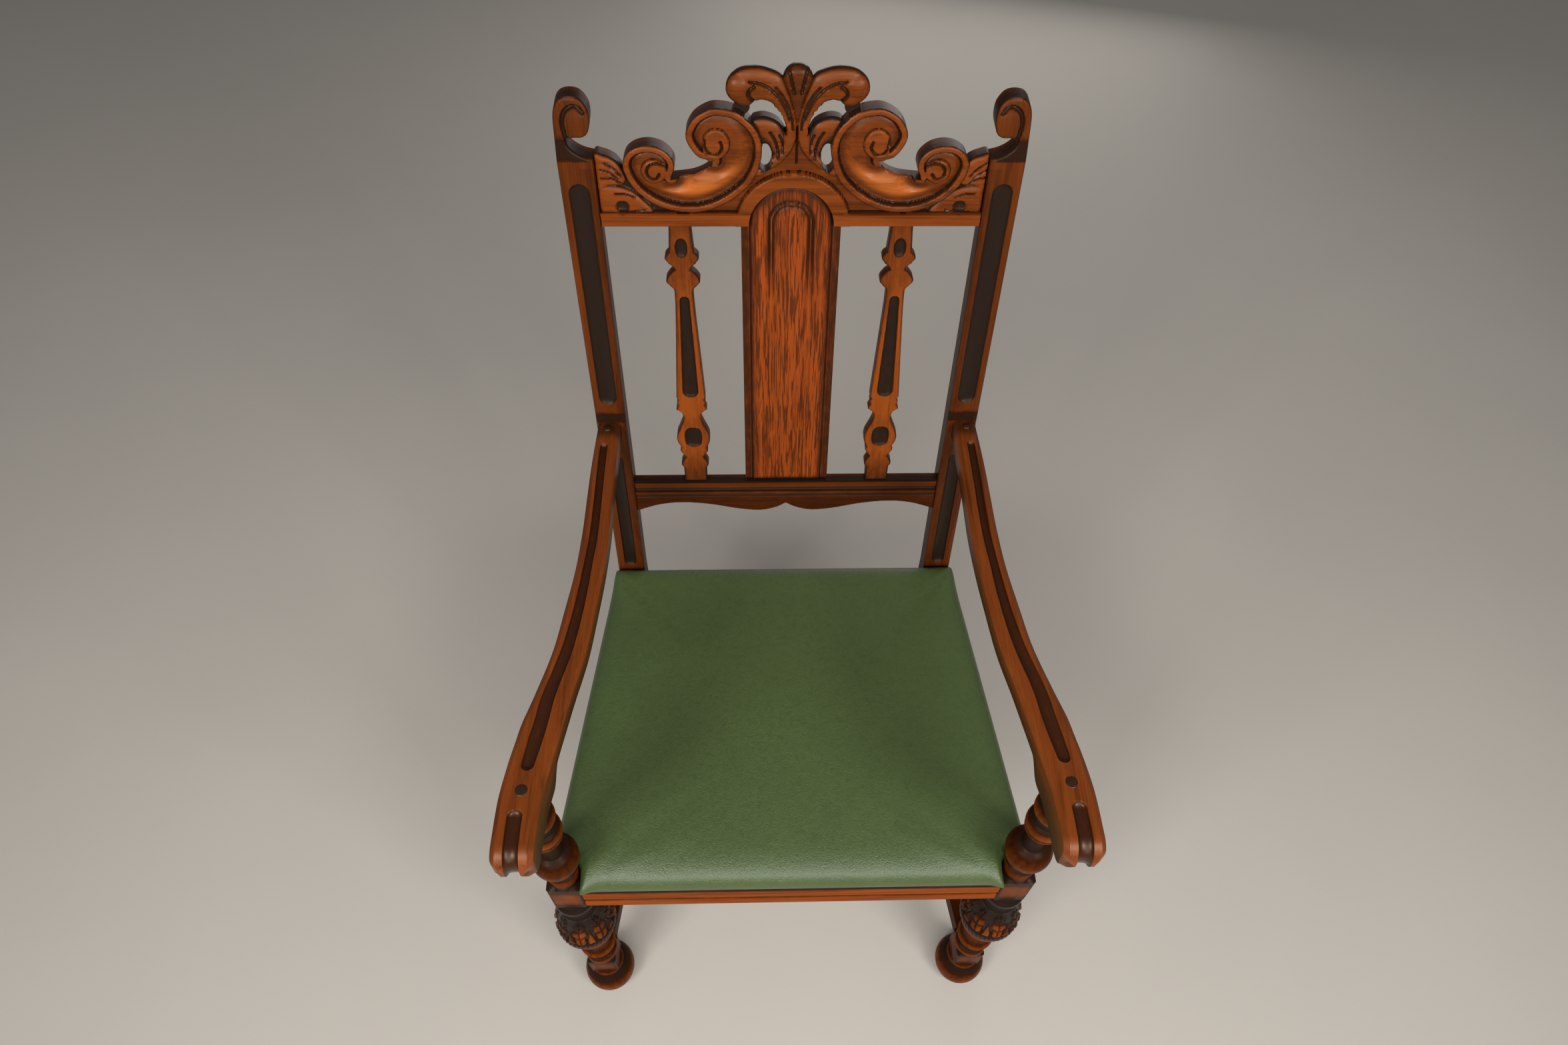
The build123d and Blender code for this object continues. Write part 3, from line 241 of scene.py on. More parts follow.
def slot_distance(x, y, cx, low, high, half):
    """Distance to an upright slot with round ends, below 0 inside."""
    nearest = np.clip(y, low + half, high - half)
    return np.hypot(x - cx, y - nearest) - half


def pillow(inner, width, height):
    """Fall of a rounded edge: 0 deep inside, height at the edge, on a quarter of an ellipse."""
    t = 1 - np.clip(inner / width, 0, 1)
    return height * (1 - np.sqrt(1 - t * t))


def cut(far, half, depth):
    """Depth of a round-bottomed groove at a distance from its middle line."""
    return depth * np.sqrt(np.clip(1 - (far / half) ** 2, 0, 1))


def blurred(values, mask, reach):
    """Mean of the values around each grid point, over the masked points alone."""
    def spread(a):
        for axis in (0, 1):
            padded = np.pad(a, [(reach + 1, reach) if k == axis else (0, 0) for k in (0, 1)])
            total = np.cumsum(padded, axis=axis)
            size = a.shape[axis]
            high = np.take(total, np.arange(size) + 2 * reach + 1, axis=axis)
            low = np.take(total, np.arange(size), axis=axis)
            a = high - low
        return a
    weight = mask.astype(float)
    return spread(values * weight) / np.maximum(spread(weight), 1e-6)


# Meshes


def add_piece(name, points, quads, triangles, stain, material, slot, replaced, sharp=38):
    """Mesh object at the origin from points in millimetres, with a stain value on each point."""
    mesh = bpy.data.meshes.new(name)
    corners = np.concatenate([quads.ravel(), triangles.ravel()])
    counts = np.concatenate([np.full(len(quads), 4), np.full(len(triangles), 3)])
    mesh.vertices.add(len(points))
    mesh.vertices.foreach_set("co", (points * MM).astype(np.float32).ravel())
    mesh.loops.add(len(corners))
    mesh.loops.foreach_set("vertex_index", corners.astype(np.int32))
    mesh.polygons.add(len(counts))
    mesh.polygons.foreach_set("loop_start", (np.cumsum(counts) - counts).astype(np.int32))
    mesh.polygons.foreach_set("use_smooth", np.ones(len(counts), bool))
    mesh.update(calc_edges=True)
    layer = mesh.attributes.new("stain", "FLOAT", "POINT")
    layer.data.foreach_set("value", np.asarray(stain, np.float32))
    mesh.set_sharp_from_angle(angle=math.radians(sharp))
    mesh.materials.append(material)
    piece = bpy.data.objects.new(name, mesh)
    bpy.context.scene.collection.objects.link(piece)
    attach(piece, "root")
    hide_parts(*replaced)
    return piece


def add_pair(name, shape, material, slot, node):
    """A right-hand shape and its mirror image on the left, each in its own object."""
    points, quads, triangles, stain = shape
    for side, turn in (("right_", 1), ("left_", -1)):
        add_piece(side + name, points * (turn, 1, 1), quads[:, ::turn], triangles[:, ::turn], stain, material,
                  slot, [side + node])


# Depth of the ring below the edge of a carved face
edge_ring = 1.2


def carved_board(across, along, distance, face, rear, place, side_stain=0.8, back_stain=0.2):
    """Board cut to an outline and carved on its face, as one closed mesh.

    The face is a grid of across by along. A cell whose middle lies inside the outline, where distance is
    below 0, is kept, and points on the cut edge slide down the slope of the distance onto the outline.
    face gives each point's depth and stain, rear the depth of the back as a number or a function, and place
    the point in the room. Below the face's edge, the sides start with a dark ring.
    """
    x, y = np.meshgrid(across, along)
    step = max(np.diff(across).max(), np.diff(along).max())
    gap = distance(x, y)
    keep = distance((x[:-1, :-1] + x[1:, 1:]) / 2, (y[:-1, :-1] + y[1:, 1:]) / 2) < 0
    a, b, c, d = keep[:-1, :-1], keep[:-1, 1:], keep[1:, :-1], keep[1:, 1:]
    corner_touch = (a & d & ~b & ~c) | (b & c & ~a & ~d)
    keep[:-1, :-1] |= corner_touch
    keep[:-1, 1:] |= corner_touch
    touch = np.zeros(x.shape, int)
    for rows in (slice(None, -1), slice(1, None)):
        for columns in (slice(None, -1), slice(1, None)):
            touch[rows, columns] += keep
    used = touch > 0
    rim = used & (touch < 4)
    slope_y, slope_x = np.gradient(gap, along, across)
    steep = np.maximum(slope_x ** 2 + slope_y ** 2, 0.3)
    shift = np.where(rim, np.clip(gap / steep, -step, step), 0.0)
    x, y = x - shift * slope_x, y - shift * slope_y
    depth, stain = face(x, y, used)
    back = rear(x, y) if callable(rear) else np.full(x.shape, rear)

    count = used.sum()
    number = np.cumsum(used).reshape(used.shape) - 1
    ring = np.cumsum(rim).reshape(rim.shape) - 1 + 2 * count
    low_left, low_right = number[:-1, :-1][keep], number[:-1, 1:][keep]
    top_right, top_left = number[1:, 1:][keep], number[1:, :-1][keep]
    front = np.stack([low_left, low_right, top_right, top_left], 1)
    behind = np.stack([low_left, top_left, top_right, low_right], 1) + count
    faces = [front, behind]
    near = np.pad(keep, 1)
    row, column = np.indices(keep.shape)
    open_sides = (
        (near[:-2, 1:-1], (0, 0), (0, 1)),
        (near[1:-1, 2:], (0, 1), (1, 1)),
        (near[2:, 1:-1], (1, 1), (1, 0)),
        (near[1:-1, :-2], (1, 0), (0, 0)),
    )
    for beside, first, last in open_sides:
        wall = keep & ~beside
        p = (row[wall] + first[0], column[wall] + first[1])
        q = (row[wall] + last[0], column[wall] + last[1])
        faces.append(np.stack([number[q], number[p], ring[p], ring[q]], 1))
        faces.append(np.stack([ring[q], ring[p], number[p] + count, number[q] + count], 1))
    half_way = (depth + back) / 2
    edge_depth = np.where(back > depth, np.minimum(depth + edge_ring, half_way), half_way)
    points = np.concatenate([place(x, y, depth)[used], place(x, y, back)[used], place(x, y, edge_depth)[rim]])
    stains = np.concatenate([stain[used], np.full(count, back_stain), np.full(rim.sum(), side_stain)])
    return points, np.concatenate(faces), np.zeros((0, 3), int), stains


def grid_steps(low, high, step):
    """Even steps from low to high, none longer than step."""
    return np.linspace(low, high, int(math.ceil((high - low) / step)) + 1)


def closed_rings(rings, foot, top):
    """Closed surface through rings of points, from the lowest up, with a pole at each end."""
    rows, steps = rings.shape[:2]
    number = np.arange(rows * steps).reshape(rows, steps)
    beside = np.roll(number, -1, axis=1)
    quads = np.stack([number[:-1], beside[:-1], beside[1:], number[1:]], -1).reshape(-1, 4)
    low_fan = np.stack([beside[0], number[0], np.full(steps, rows * steps)], 1)
    top_fan = np.stack([number[-1], beside[-1], np.full(steps, rows * steps + 1)], 1)
    points = np.concatenate([rings.reshape(-1, 3), [foot, top]])
    return points, quads, np.concatenate([low_fan, top_fan])


def depth_stain(depth, used):
    """Stain of a carved face: dark in what lies deep or below its surroundings, pale on ridges."""
    hollow = depth - blurred(depth, used, 5)
    dark = ease((depth - 2.5) / 5.0)
    return np.clip(0.75 * dark + 0.55 * ease(hollow / 1.8) - 0.6 * ease(-hollow / 1.6), -1, 1)


# Crest rail. Its lines are points across from the middle, and straight up from its lower edge

crest_base, crest_height, crest_depth = 548.5, 166.9, 20.0
# The carving and the arch stand a little to the right of the middle
carving_shift, arch_shift = 3.8, 1.7
band_height = 14.2
arch_outer, arch_inner = 58.6, 44.0
splat_half = 52.25
rim_line = [
    (81.8, 70.8), (97.3, 75.3), (107.9, 94.5), (101, 111.5), (87.6, 120.8), (76, 123), (58.4, 119),
    (43, 106.2), (34.9, 89.9), (35.3, 69.9), (45, 48), (62, 31.7), (80.9, 20.8), (100.9, 15.7),
    (122.7, 17.1), (145.5, 26.2), (163, 42.5), (171.3, 62.5), (168.6, 75.3), (159, 83.5), (145.5, 86.2),
    (132, 82.5), (122.7, 73.5), (120.5, 63.5), (124.5, 53.5),
]
scroll_brow = [(126, 51), (111.8, 52.5), (101, 54.5), (90, 59.5), (83, 66.2)]
big_coil = [
    (84, 70.8), (74.5, 73), (67, 80.8), (66, 91.5), (72.5, 100.8), (81.5, 102.5), (89.5, 96.5),
    (91.5, 88), (91.5, 79), (90, 73),
]
big_coil_line = [(90.5, 92), (89, 83), (83.5, 77.3), (77, 78.2), (73, 84), (74.5, 90)]
small_coil = [
    (128.7, 59.5), (132.4, 68.3), (141.2, 72), (150, 68.3), (153.7, 59.5), (150, 50.7), (141.2, 47),
    (132.4, 50.7),
]
small_coil_line = [
    (131, 66), (137.5, 68.2), (144.5, 66.5), (148.2, 60.5), (146, 54), (139.5, 52.4), (135.8, 57),
]
# Middle, radius and fade of each volute
volutes = [(81.0, 90.0, 22.0, 15.0), (141.5, 62.0, 17.0, 12.0)]
ground_patch = [
    (0, 0), (118, 0), (105, 18), (80.9, 23), (62.7, 34), (46.4, 50), (39, 66), (34, 58), (26, 62), (16, 69),
    (8, 79), (3, 90), (0, 96),
]
upper_leaf = [
    (0, 96), (10, 96.2), (10.4, 102.5), (13.6, 113.5), (19, 121.5), (26.4, 127.1), (34.5, 129), (41, 127.1),
    (46.4, 123.5), (53.6, 123.6), (63.5, 129.5), (68, 138), (65.4, 149.5), (55, 158), (39, 160.5),
    (26.4, 158), (15.5, 152.5), (9, 141), (4, 124), (0, 108),
]
stem_line = [(24, 143), (14.5, 126), (8.6, 110), (6.8, 97), (8.5, 86), (15, 75), (25, 66), (37, 57.5)]
# Heights and half widths of the stem
stem_half = [(57, 4.4), (75, 5.6), (97, 6.4), (126, 8.5), (143, 11.0)]
# Middle and radius of the round lobe at the leaf's end
lobe_ball = (55.5, 142.0, 13.5)
lower_leaf = [
    (0, 98), (1, 92), (3, 86), (8, 77), (16, 68), (26, 61), (37, 54), (43, 57), (40, 76), (41, 92),
    (44, 108.5), (35.5, 112.5), (26.4, 111.3), (17.3, 106.2), (10, 96.2), (6, 101), (0, 104),
]
palmette = [
    (-14, 151), (-11.5, 157.4), (-6, 161.7), (0, 162.9), (6, 161.7), (11.5, 157.4), (14, 151),
    (12, 144.5), (8, 134), (4.2, 120), (1.6, 108), (0, 101), (-1.6, 108), (-4.2, 120), (-8, 134),
    (-12, 144.5),
]
upper_end_leaf = [
    (195.5, 40), (195.5, 75), (186, 75), (176, 70), (170, 62), (166, 50), (171, 44), (182, 43),
]
lower_end_leaf = [
    (195.5, 12), (195.5, 42), (182, 43.5), (170, 41), (160, 36), (150, 27), (141, 12),
]
# Line, half width and depth of each vein
leaf_veins = [
    ([(45.6, 147.5), (36, 146), (26, 141), (17, 132), (10.5, 121), (7.2, 112)], 1.7, 2.6),
    ([(21, 142.5), (14, 134), (8.8, 124), (5.2, 112), (4, 102)], 1.4, 2.2),
    ([(41.5, 142.5), (45.6, 139.5), (46.6, 134.5), (41.5, 128.5)], 2.0, 3.4),
    ([(26, 98), (21.3, 90), (18.8, 81), (18.2, 73)], 1.5, 2.4),
    ([(17, 95), (14, 88), (13.6, 78)], 1.3, 1.9),
    ([(9, 159.5), (6.2, 150), (3.6, 138)], 1.7, 3.0),
    ([(0.0, 66), (0.0, 104)], 1.1, 2.4),
    ([(189.5, 67), (182, 62.5), (174.5, 54)], 1.3, 2.0),
    ([(194, 60.5), (186, 58), (178, 51)], 1.1, 1.6),
    ([(194, 52), (184, 51.5), (175, 46)], 1.3, 2.0),
    ([(182, 35), (172, 34.5), (163, 31)], 1.2, 1.8),
    ([(178, 15.5), (166, 15.5), (154, 17)], 1.2, 1.6),
]
end_ground = [(104, 6), (195.5, 6), (195.5, 62), (168, 60), (163, 44), (146, 27), (124, 18)]
# Middle, radius and depth of the hollow in each lower end leaf
end_hollow = (172.0, 20.5, 7.2, 4.0)
# Middle and half sizes of the hole on each side of the leaves
leaf_hole = (31.0, 71.5, 6.8, 14.0)
# Disc that joins the upper leaf to the scroll
leaf_bridge = (53.0, 122.5, 7.5)
# Fine groove beside the bead of the scrolls: way from the bead, half width and depth
bead_groove = (0.8, 1.0, 1.3)
# Rounding behind the top leaves: width, depth and start; rebate for the splat: radius and depth
leaf_rounding = (13.0, 11.0, 118.0)
splat_rebate = (splat_half + 0.4, 9.0)
# Depth of each part's top behind the back's front plane, and the width and fall of its rounded edge
crest_relief = {
    "band": (-0.8, 1.0, 0.6), "arch": (-0.8, 1.0, 0.6),
    "lower leaf": (3.8, 9.0, 4.6), "upper leaf": (1.2, 12.0, 6.0), "palmette": (-0.2, 7.5, 6.4),
    "upper end": (2.4, 6.0, 3.8), "lower end": (2.6, 7.0, 3.8),
}


def crest_line(points, closed=True):
    """Curve through points whose heights were taken straight up, laid on the slope of the back."""
    return smooth_line(np.array(points, float) * (1, slope), closed)


def crest_parts(x, y):
    """Distance to each part of the crest, below 0 inside; the right half stands for both."""
    ends = np.abs(x)
    ax = np.abs(x - carving_shift)
    scroll = np.concatenate([crest_line(rim_line, closed=False), crest_line(scroll_brow, closed=False)])
    outlines = [scroll, crest_line(big_coil), crest_line(small_coil)]
    past_post = ends - post_inner
    parts = {
        "band": box_distance(x, y, -post_inner, post_inner, 0, band_height),
        "arch": disc_distance(x, y, arch_shift, 0, arch_outer),
        "scroll": np.minimum.reduce([outline_distance(ax, y, outline) for outline in outlines]),
        "ground": outline_distance(ax, y, np.array(ground_patch) * (1, slope)),
        "end ground": np.maximum(outline_distance(ends, y, np.array(end_ground) * (1, slope)), past_post),
        "bridge": disc_distance(ax, y, *leaf_bridge),
    }
    for name, line in (("upper leaf", upper_leaf), ("lower leaf", lower_leaf), ("palmette", palmette)):
        parts[name] = outline_distance(ax, y, crest_line(line))
    for name, line in (("upper end", upper_end_leaf), ("lower end", lower_end_leaf)):
        parts[name] = np.maximum(outline_distance(ends, y, crest_line(line)), past_post)
    cx, cy, half_wide, half_tall = leaf_hole
    hole = (np.hypot((ax - cx) / half_wide, (y - cy * slope) / half_tall) - 1) * half_wide
    for name in ("lower leaf", "ground"):
        parts[name] = np.maximum(parts[name], -hole)
    return parts


def crest_distance(x, y):
    """Distance to the crest's outline: the nearest part, less the arch that the splat fills."""
    whole = np.minimum.reduce(list(crest_parts(x, y).values()))
    return np.maximum(np.maximum(whole, arch_inner - np.hypot(x, y)), -y)


def scroll_depth(ax, y, scroll, rim_width, hollow):
    """Depth of a C-scroll: a bead along its rim, a fine groove, a hollow that rises to the brow, two coils.

    Across the body, the hollow is a bell curve of the distance from the rim. In a volute it is shallow, and
    each coil is a flat button with a spiral line cut in it.
    """
    along = line_distance(ax, y, crest_line(rim_line, closed=False))
    groove_at, groove_half, groove_depth = bead_groove
    beyond = along - rim_width
    past = beyond - 2 * groove_at
    coiled = np.zeros(ax.shape)
    body = 2.1 + (hollow - 2.1) * np.exp(-((past - 4.0) / 9.0) ** 2)
    for cx, cy, outer, inner in volutes:
        near = 1 - ease((np.hypot(ax - cx, y - cy * slope) - outer) / inner)
        body = body + near * (3.6 + 0.9 * np.exp(-(past / 3.0) ** 2) - body)
        coiled = np.maximum(coiled, near)
    bead = 0.2 + pillow(np.minimum(along, rim_width - along), rim_width / 2, 1.7)
    brow = pillow(np.where(beyond > 0, -scroll, 9), 2.2, 1.6)
    depth = np.where(beyond < 0, bead, body) + cut(beyond - groove_at, groove_half, groove_depth) + brow
    shade = 0.9 * ease(1.5 - np.abs(beyond - groove_at) / 0.9)
    # The hollow just beside the bead is darkened: partly stain in the deep hollow, partly painted shade
    shade = np.maximum(shade, 0.42 * ease(1.2 - np.abs(past - 2) / 5))
    # Painted highlight: the scroll's body is lifted to the pale tone as a painted sheen, most on the lower
    # arc and away from the scroll's edges, and not in the volutes
    lightened = 0.8 * ease((past - 5) / 8) * (0.2 + 0.8 * ease((74 - y) / 34)) * (1 - coiled)
    lightened = lightened * (0.35 + 0.65 * ease(-scroll / 9))
    shade = np.maximum(shade, 0.22 * coiled) - lightened
    for coil, coil_line in ((big_coil, big_coil_line), (small_coil, small_coil_line)):
        inner = -outline_distance(ax, y, crest_line(coil))
        line = line_distance(ax, y, crest_line(coil_line, closed=False))
        button = 0.1 + pillow(inner, 3.4, 2.4) + cut(line, 1.5, 3.0)
        depth = np.where(inner > 0, np.minimum(depth, button), depth)
        edge = np.maximum(0.85 * ease(1.3 - line / 1.5), 0.08)
        shade = np.where(inner > 0, edge, np.maximum(shade, ease(1 + inner / 2.4) * 1.85 - 1))
    rim_shade = 0.05 + 0.7 * ease((depth - 0.6) / 1.2)
    return depth, np.where(beyond < -0.4, rim_shade, shade)


def crest_face(sizes):
    """Carved face of the crest: at each point the foremost of its parts, with veins and lines cut in.

    Each part is a flat top with a rounded edge, a quarter of an ellipse. The stem and the lobe are rounded
    all over, and the scrolls come from scroll_depth.
    """
    rim_width = sizes.rim_width / MM
    hollow = sizes.scroll_hollow / MM
    ground = sizes.ground_depth / MM

    def face(x, y, used):
        ax = np.abs(x - carving_shift)
        parts = crest_parts(x, y)
        deep = np.full(x.shape, 10.0)

        def lay(inner, depth):
            """Put a part's surface over what lies behind it."""
            np.copyto(deep, np.minimum(deep, depth), where=inner > -0.4)

        lay(-parts["ground"], ground - 1.4 * ease((y - 60) / 24))
        lay(-parts["end ground"], ground + 1.0)
        for name, (top, width, fall) in crest_relief.items():
            lay(-parts[name], top + pillow(-parts[name], width, fall))
        half = np.interp(y / slope, *np.array(stem_half).T)
        far = line_distance(ax, y, crest_line(stem_line, closed=False))
        stem = np.where((parts["upper leaf"] < 0) | (parts["lower leaf"] < 0), half - far, -9)
        lay(stem, 0.9 + pillow(stem, half, 4.4))
        cx, cy, radius = lobe_ball
        ball = radius - np.hypot(ax - cx, y - cy * slope)
        lay(np.where(parts["upper leaf"] < 0, ball, -9), -1.0 + pillow(ball, radius, 9.0))
        shade = np.zeros(x.shape)
        for line, half_width, depth in leaf_veins:
            far = line_distance(ax, y, crest_line(line, closed=False))
            deep += cut(far, half_width, depth)
            shade = np.maximum(shade, ease(1.25 - far / half_width))
        cx, cy, radius, depth = end_hollow
        far = np.hypot(np.abs(x) - cx, y - cy * slope)
        deep += cut(far, radius, depth)
        shade = np.maximum(shade, 0.9 * ease(1.2 - far / radius))
        lines = np.maximum(cut(parts["band"], 1.0, 1.0), cut(parts["arch"], 1.0, 1.0))
        deep += lines * (parts["band"] > -1.2)
        scroll, scroll_shade = scroll_depth(ax, y, parts["scroll"], rim_width, hollow)
        in_scroll = parts["scroll"] < 0.4
        deep = np.where(in_scroll, np.minimum(deep, scroll), deep)
        stain = np.maximum(depth_stain(deep, used), -0.05)
        ornament = np.minimum(parts["palmette"], np.minimum(parts["upper leaf"], parts["lower leaf"]))
        open_ground = np.minimum(ornament, np.minimum(parts["band"], parts["arch"])) > 0.8
        stain = np.where(open_ground & (parts["ground"] < 0), np.minimum(stain, 0.3), stain)
        stain = np.maximum(stain, 0.12 * ease(0.5 - ornament) + 0.3 * ease(0.5 - parts["palmette"]))
        return deep, np.where(in_scroll, scroll_shade, np.maximum(stain, 0.95 * shade))

    return face


def crest_rear(x, y):
    """Back of the crest: flat, with a rebate round the arch, and rounded forward behind the top leaves."""
    parts = crest_parts(x, y)
    inner = np.maximum(-parts["upper leaf"], -parts["palmette"])
    width, fall, start = leaf_rounding
    rounded = crest_depth - pillow(inner, width, fall) * ease((y - start) / 10) * (inner > -0.6)
    radius, rebate = splat_rebate
    return np.where(np.hypot(x, y) < radius, rebate, rounded)


# Rear posts

post_outline = [
    (231.5, 1096), (230.3, 1121), (229.2, 1140), (226.4, 1151.3), (220.9, 1158.3), (211.8, 1160.7),
    (202.7, 1158.4), (196.2, 1149.9), (194.6, 1140.5), (195.6, 1131), (199, 1123.5), (205, 1120.2),
    (213, 1120), (219.5, 1117.5),
    (217.5, 1110.5), (211.8, 1105), (204, 1101), (195.5, 1098.8),
]
scroll_groove = [
    (200.5, 1145), (205, 1150.5), (211, 1151), (217.5, 1146), (220.6, 1138), (220.4, 1127),
    (218.6, 1118),
]
# Middle, lower end, upper end and half width of each flute
post_flutes = [(213.5, 793, 1073, 10.2), (213.5, 508, 710, 8.0)]
post_top_depth = 17.5
post_top = 1160.7
post_rows_top = 1159.0
post_kick = 48.0
# Dark band above the arm: middle and half height
arm_band = (772.0, 9.0)
scroll_start = 1090.0
# Dark throat under the scroll: middle, half height and lower end
scroll_throat = (1108.0, 18.0, 1096.0)
# Round middle of the scroll: place, radius and rise
scroll_bulb = (207.5, 1136.0, 11.0, 0.9)


def post_front(z):
    """Front line of a post: upright to the top of the seat blocks, then leaning, and kicked back below."""
    lean = post_y + np.maximum(z - block_top, 0) * math.tan(rake)
    kick = np.maximum(block_base - z, 0) / block_base
    return lean + post_kick * kick


def post_distance(x, z):
    """Distance to the post's outline seen from the front."""
    head = smooth_line(post_outline, steps=4)
    outline = np.concatenate([[(post_inner, 0), (post_outer, 0)], head])
    return outline_distance(x, z, outline)


def post_face(sizes):
    """Face of a post: two flutes with round ends, and a spiral groove round the scroll."""
    flute_depth = sizes.flute_depth / MM

    def face(x, z, used):
        inner = -post_distance(x, z)
        deep = pillow(inner, 2.2, 2.0)
        stain = 0.5 * ease(1 - inner / 1.5) * ease((z - scroll_start) / 10)
        stain = stain + 0.2 * ease((213 - x) / 8) * (z < scroll_start)
        middle, half = arm_band
        stain = np.maximum(stain, 0.75 * ease(1.3 - np.abs(z - middle) / half))
        for cx, low, high, half in post_flutes:
            far = slot_distance(x, z, cx, low, high, half)
            deep = deep + cut(np.clip(far + half, 0, half), half, flute_depth)
            stain = np.maximum(stain, 0.97 * ease((0.8 - far) / 1.6))
        far = line_distance(x, z, smooth_line(scroll_groove))
        deep = deep + cut(far, 2.2, 3.2)
        stain = np.maximum(stain, ease(1.3 - far / 2.2))
        cx, cz, radius, swell = scroll_bulb
        deep = deep - swell * np.clip(1 - (np.hypot(x - cx, z - cz) / radius) ** 2, 0, 1)
        middle, half, low = scroll_throat
        throat = ease((half - np.abs(z - middle)) / 12) * ease((x - 196) / 8) * (z > low)
        stain = np.maximum(stain, 0.75 * throat)
        return deep, stain

    return face


def place_post(x, z, depth):
    """Point of a post from its front view and its depth behind the front line."""
    return np.stack([x, post_front(z) + depth, z], axis=-1)


def post_thickness(x, z):
    """Depth of a post's back behind its front line: even up to the seat blocks, then tapered."""
    return np.interp(z, [block_top, post_top], [post_depth, post_top_depth / math.cos(rake)])


# Splat, balusters and lower rail of the back

splat_foot = up_at(664.0)
splat_field, splat_plate, splat_back = 4.7, 9.2, 16.7
field_half, panel_half = 43.0, 21.0
# Grooves along the panel's edge: way outside the edge, half width, depth, stain and the stain's half width
panel_grooves = [(1.9, 1.7, 2.0, 0.9, 1.6), (-2.6, 1.5, 1.7, 0.75, 1.4)]


def arched(x, up, half, centre):
    """Distance to an upright panel with a round top, below 0 inside."""
    top = np.hypot(x, np.maximum(up - centre, 0)) - half
    return np.maximum(top, splat_foot - up)


def splat_face(x, up, used):
    """Face of the splat: a raised arched field with a groove, a bead and a domed panel in the middle."""
    field = arched(x, up, field_half, crest_base)
    panel = arched(x, up, panel_half, crest_base + 2)
    rounded = splat_field + pillow(-field, 5.0, splat_plate - splat_field)
    deep = np.where(field < 0, rounded, splat_plate)
    ring = np.abs(panel)
    fade = 0.1 + 0.9 * ease((up - crest_base + 110) / 90)
    grooves = sum(cut(panel - at, half, depth) for at, half, depth, _, _ in panel_grooves)
    deep = deep + fade * (grooves - 0.5 * cut(ring, 1.6, 1.0)) - 1.2 * ease(-(panel + 4) / 14)
    stain = fade * sum(dark * ease(1.3 - np.abs(panel - at) / wide) for at, _, _, dark, wide in panel_grooves)
    soft = 0.34 * ease(1.2 - ring / 7) * (0.3 + 0.7 * fade) + 0.4 * ease(1.2 + field / 8)
    # Darker towards the top, under the crest's arch: partly stain, partly painted shadow of the arch
    stain = np.maximum(stain, soft + 0.25 * ease((up - crest_base - 4) / 24))
    stain = np.maximum(stain, 0.8 * ease(1 - np.abs(field) / 2.6))
    stain = np.maximum(stain, 0.55 * ease((field + 1) / 4))
    return deep, np.clip(stain - 0.3 * ease(1 - ring / 1.4), -1, 1)


baluster_x = 115.75
baluster_reach = 20.8
baluster_top, baluster_foot = 1027.0, 662.5
# Runs of the fretted edge between its corners, from the top down: (height, half width)
baluster_edge = [
    [(1027.5, 11.4), (1010, 12.3), (993, 13.5)],
    [(993, 13.5), (990.8, 16.2), (986.5, 18.2), (983.2, 16.9), (981.3, 15.2)],
    [(981.3, 15.2), (979.3, 14.2), (977.6, 11.8), (974.5, 9.4), (971.5, 8.3)],
    [(971.5, 8.3), (969.8, 11.7), (966, 15.0), (961.5, 17.8), (957.9, 18.4), (955.4, 17.3), (953.5, 15.4)],
    [(953.5, 15.4), (951.4, 13.9), (949.2, 11.6), (946.2, 10.4), (940, 10.2)],
    [(940, 10.2), (917, 10.9), (805, 16.9), (797.6, 17.3)],
    [(797.6, 17.3), (795, 15.3), (793, 16.4), (790.7, 17.0), (788.5, 16.4), (787, 15.5)],
    [(787, 15.5), (784, 17.0), (781, 18.2), (779.4, 18.5)],
    [(779.4, 18.5), (777.1, 15.0), (773.2, 11.6), (767.6, 10.5), (760.6, 12.2), (750.4, 16.0), (741.7, 19.3),
     (733.5, 20.4), (726, 19.0), (719.8, 15.9)],
    [(719.8, 15.9), (717, 16.7), (713.3, 17.1), (709.4, 15.1), (703.5, 11.2)],
    [(703.5, 11.2), (698.9, 14.2), (695, 16.2), (691.8, 17.1), (688, 16.4), (686, 14.5)],
    [(686, 14.5), (670, 14.2), (662, 14.0)],
]
# Heights and half widths of the long hollow's ends; height, half sizes and roundness of the other two
long_hollow = [(808.0, 9.4), (933.8, 5.35)]
round_hollows = [(998.4, 6.55, 11.75, 2.2), (735.9, 10.65, 15.6, 2.8)]
# Brown toning of a baluster's face from the foot up
baluster_tones = [
    (662, 0.48), (684, 0.38), (700, 0.2), (716, 0.06), (745, 0.1), (758, 0.16), (772, 0.0), (800, -0.1),
    (900, -0.05), (935, 0.06), (948, 0.2), (985, 0.3), (1010, 0.26), (1027, 0.4),
]


def baluster_distance(x, up):
    """Distance to a baluster's outline: its half width at each height, on a curve along each run."""
    z = block_top + up / slope
    edge = np.concatenate([smooth_line(run, steps=5) for run in baluster_edge])[::-1]
    half = np.interp(z, edge[:, 0], edge[:, 1])
    return np.maximum(np.abs(x - baluster_x) - half, np.maximum(z - baluster_top, baluster_foot - z))


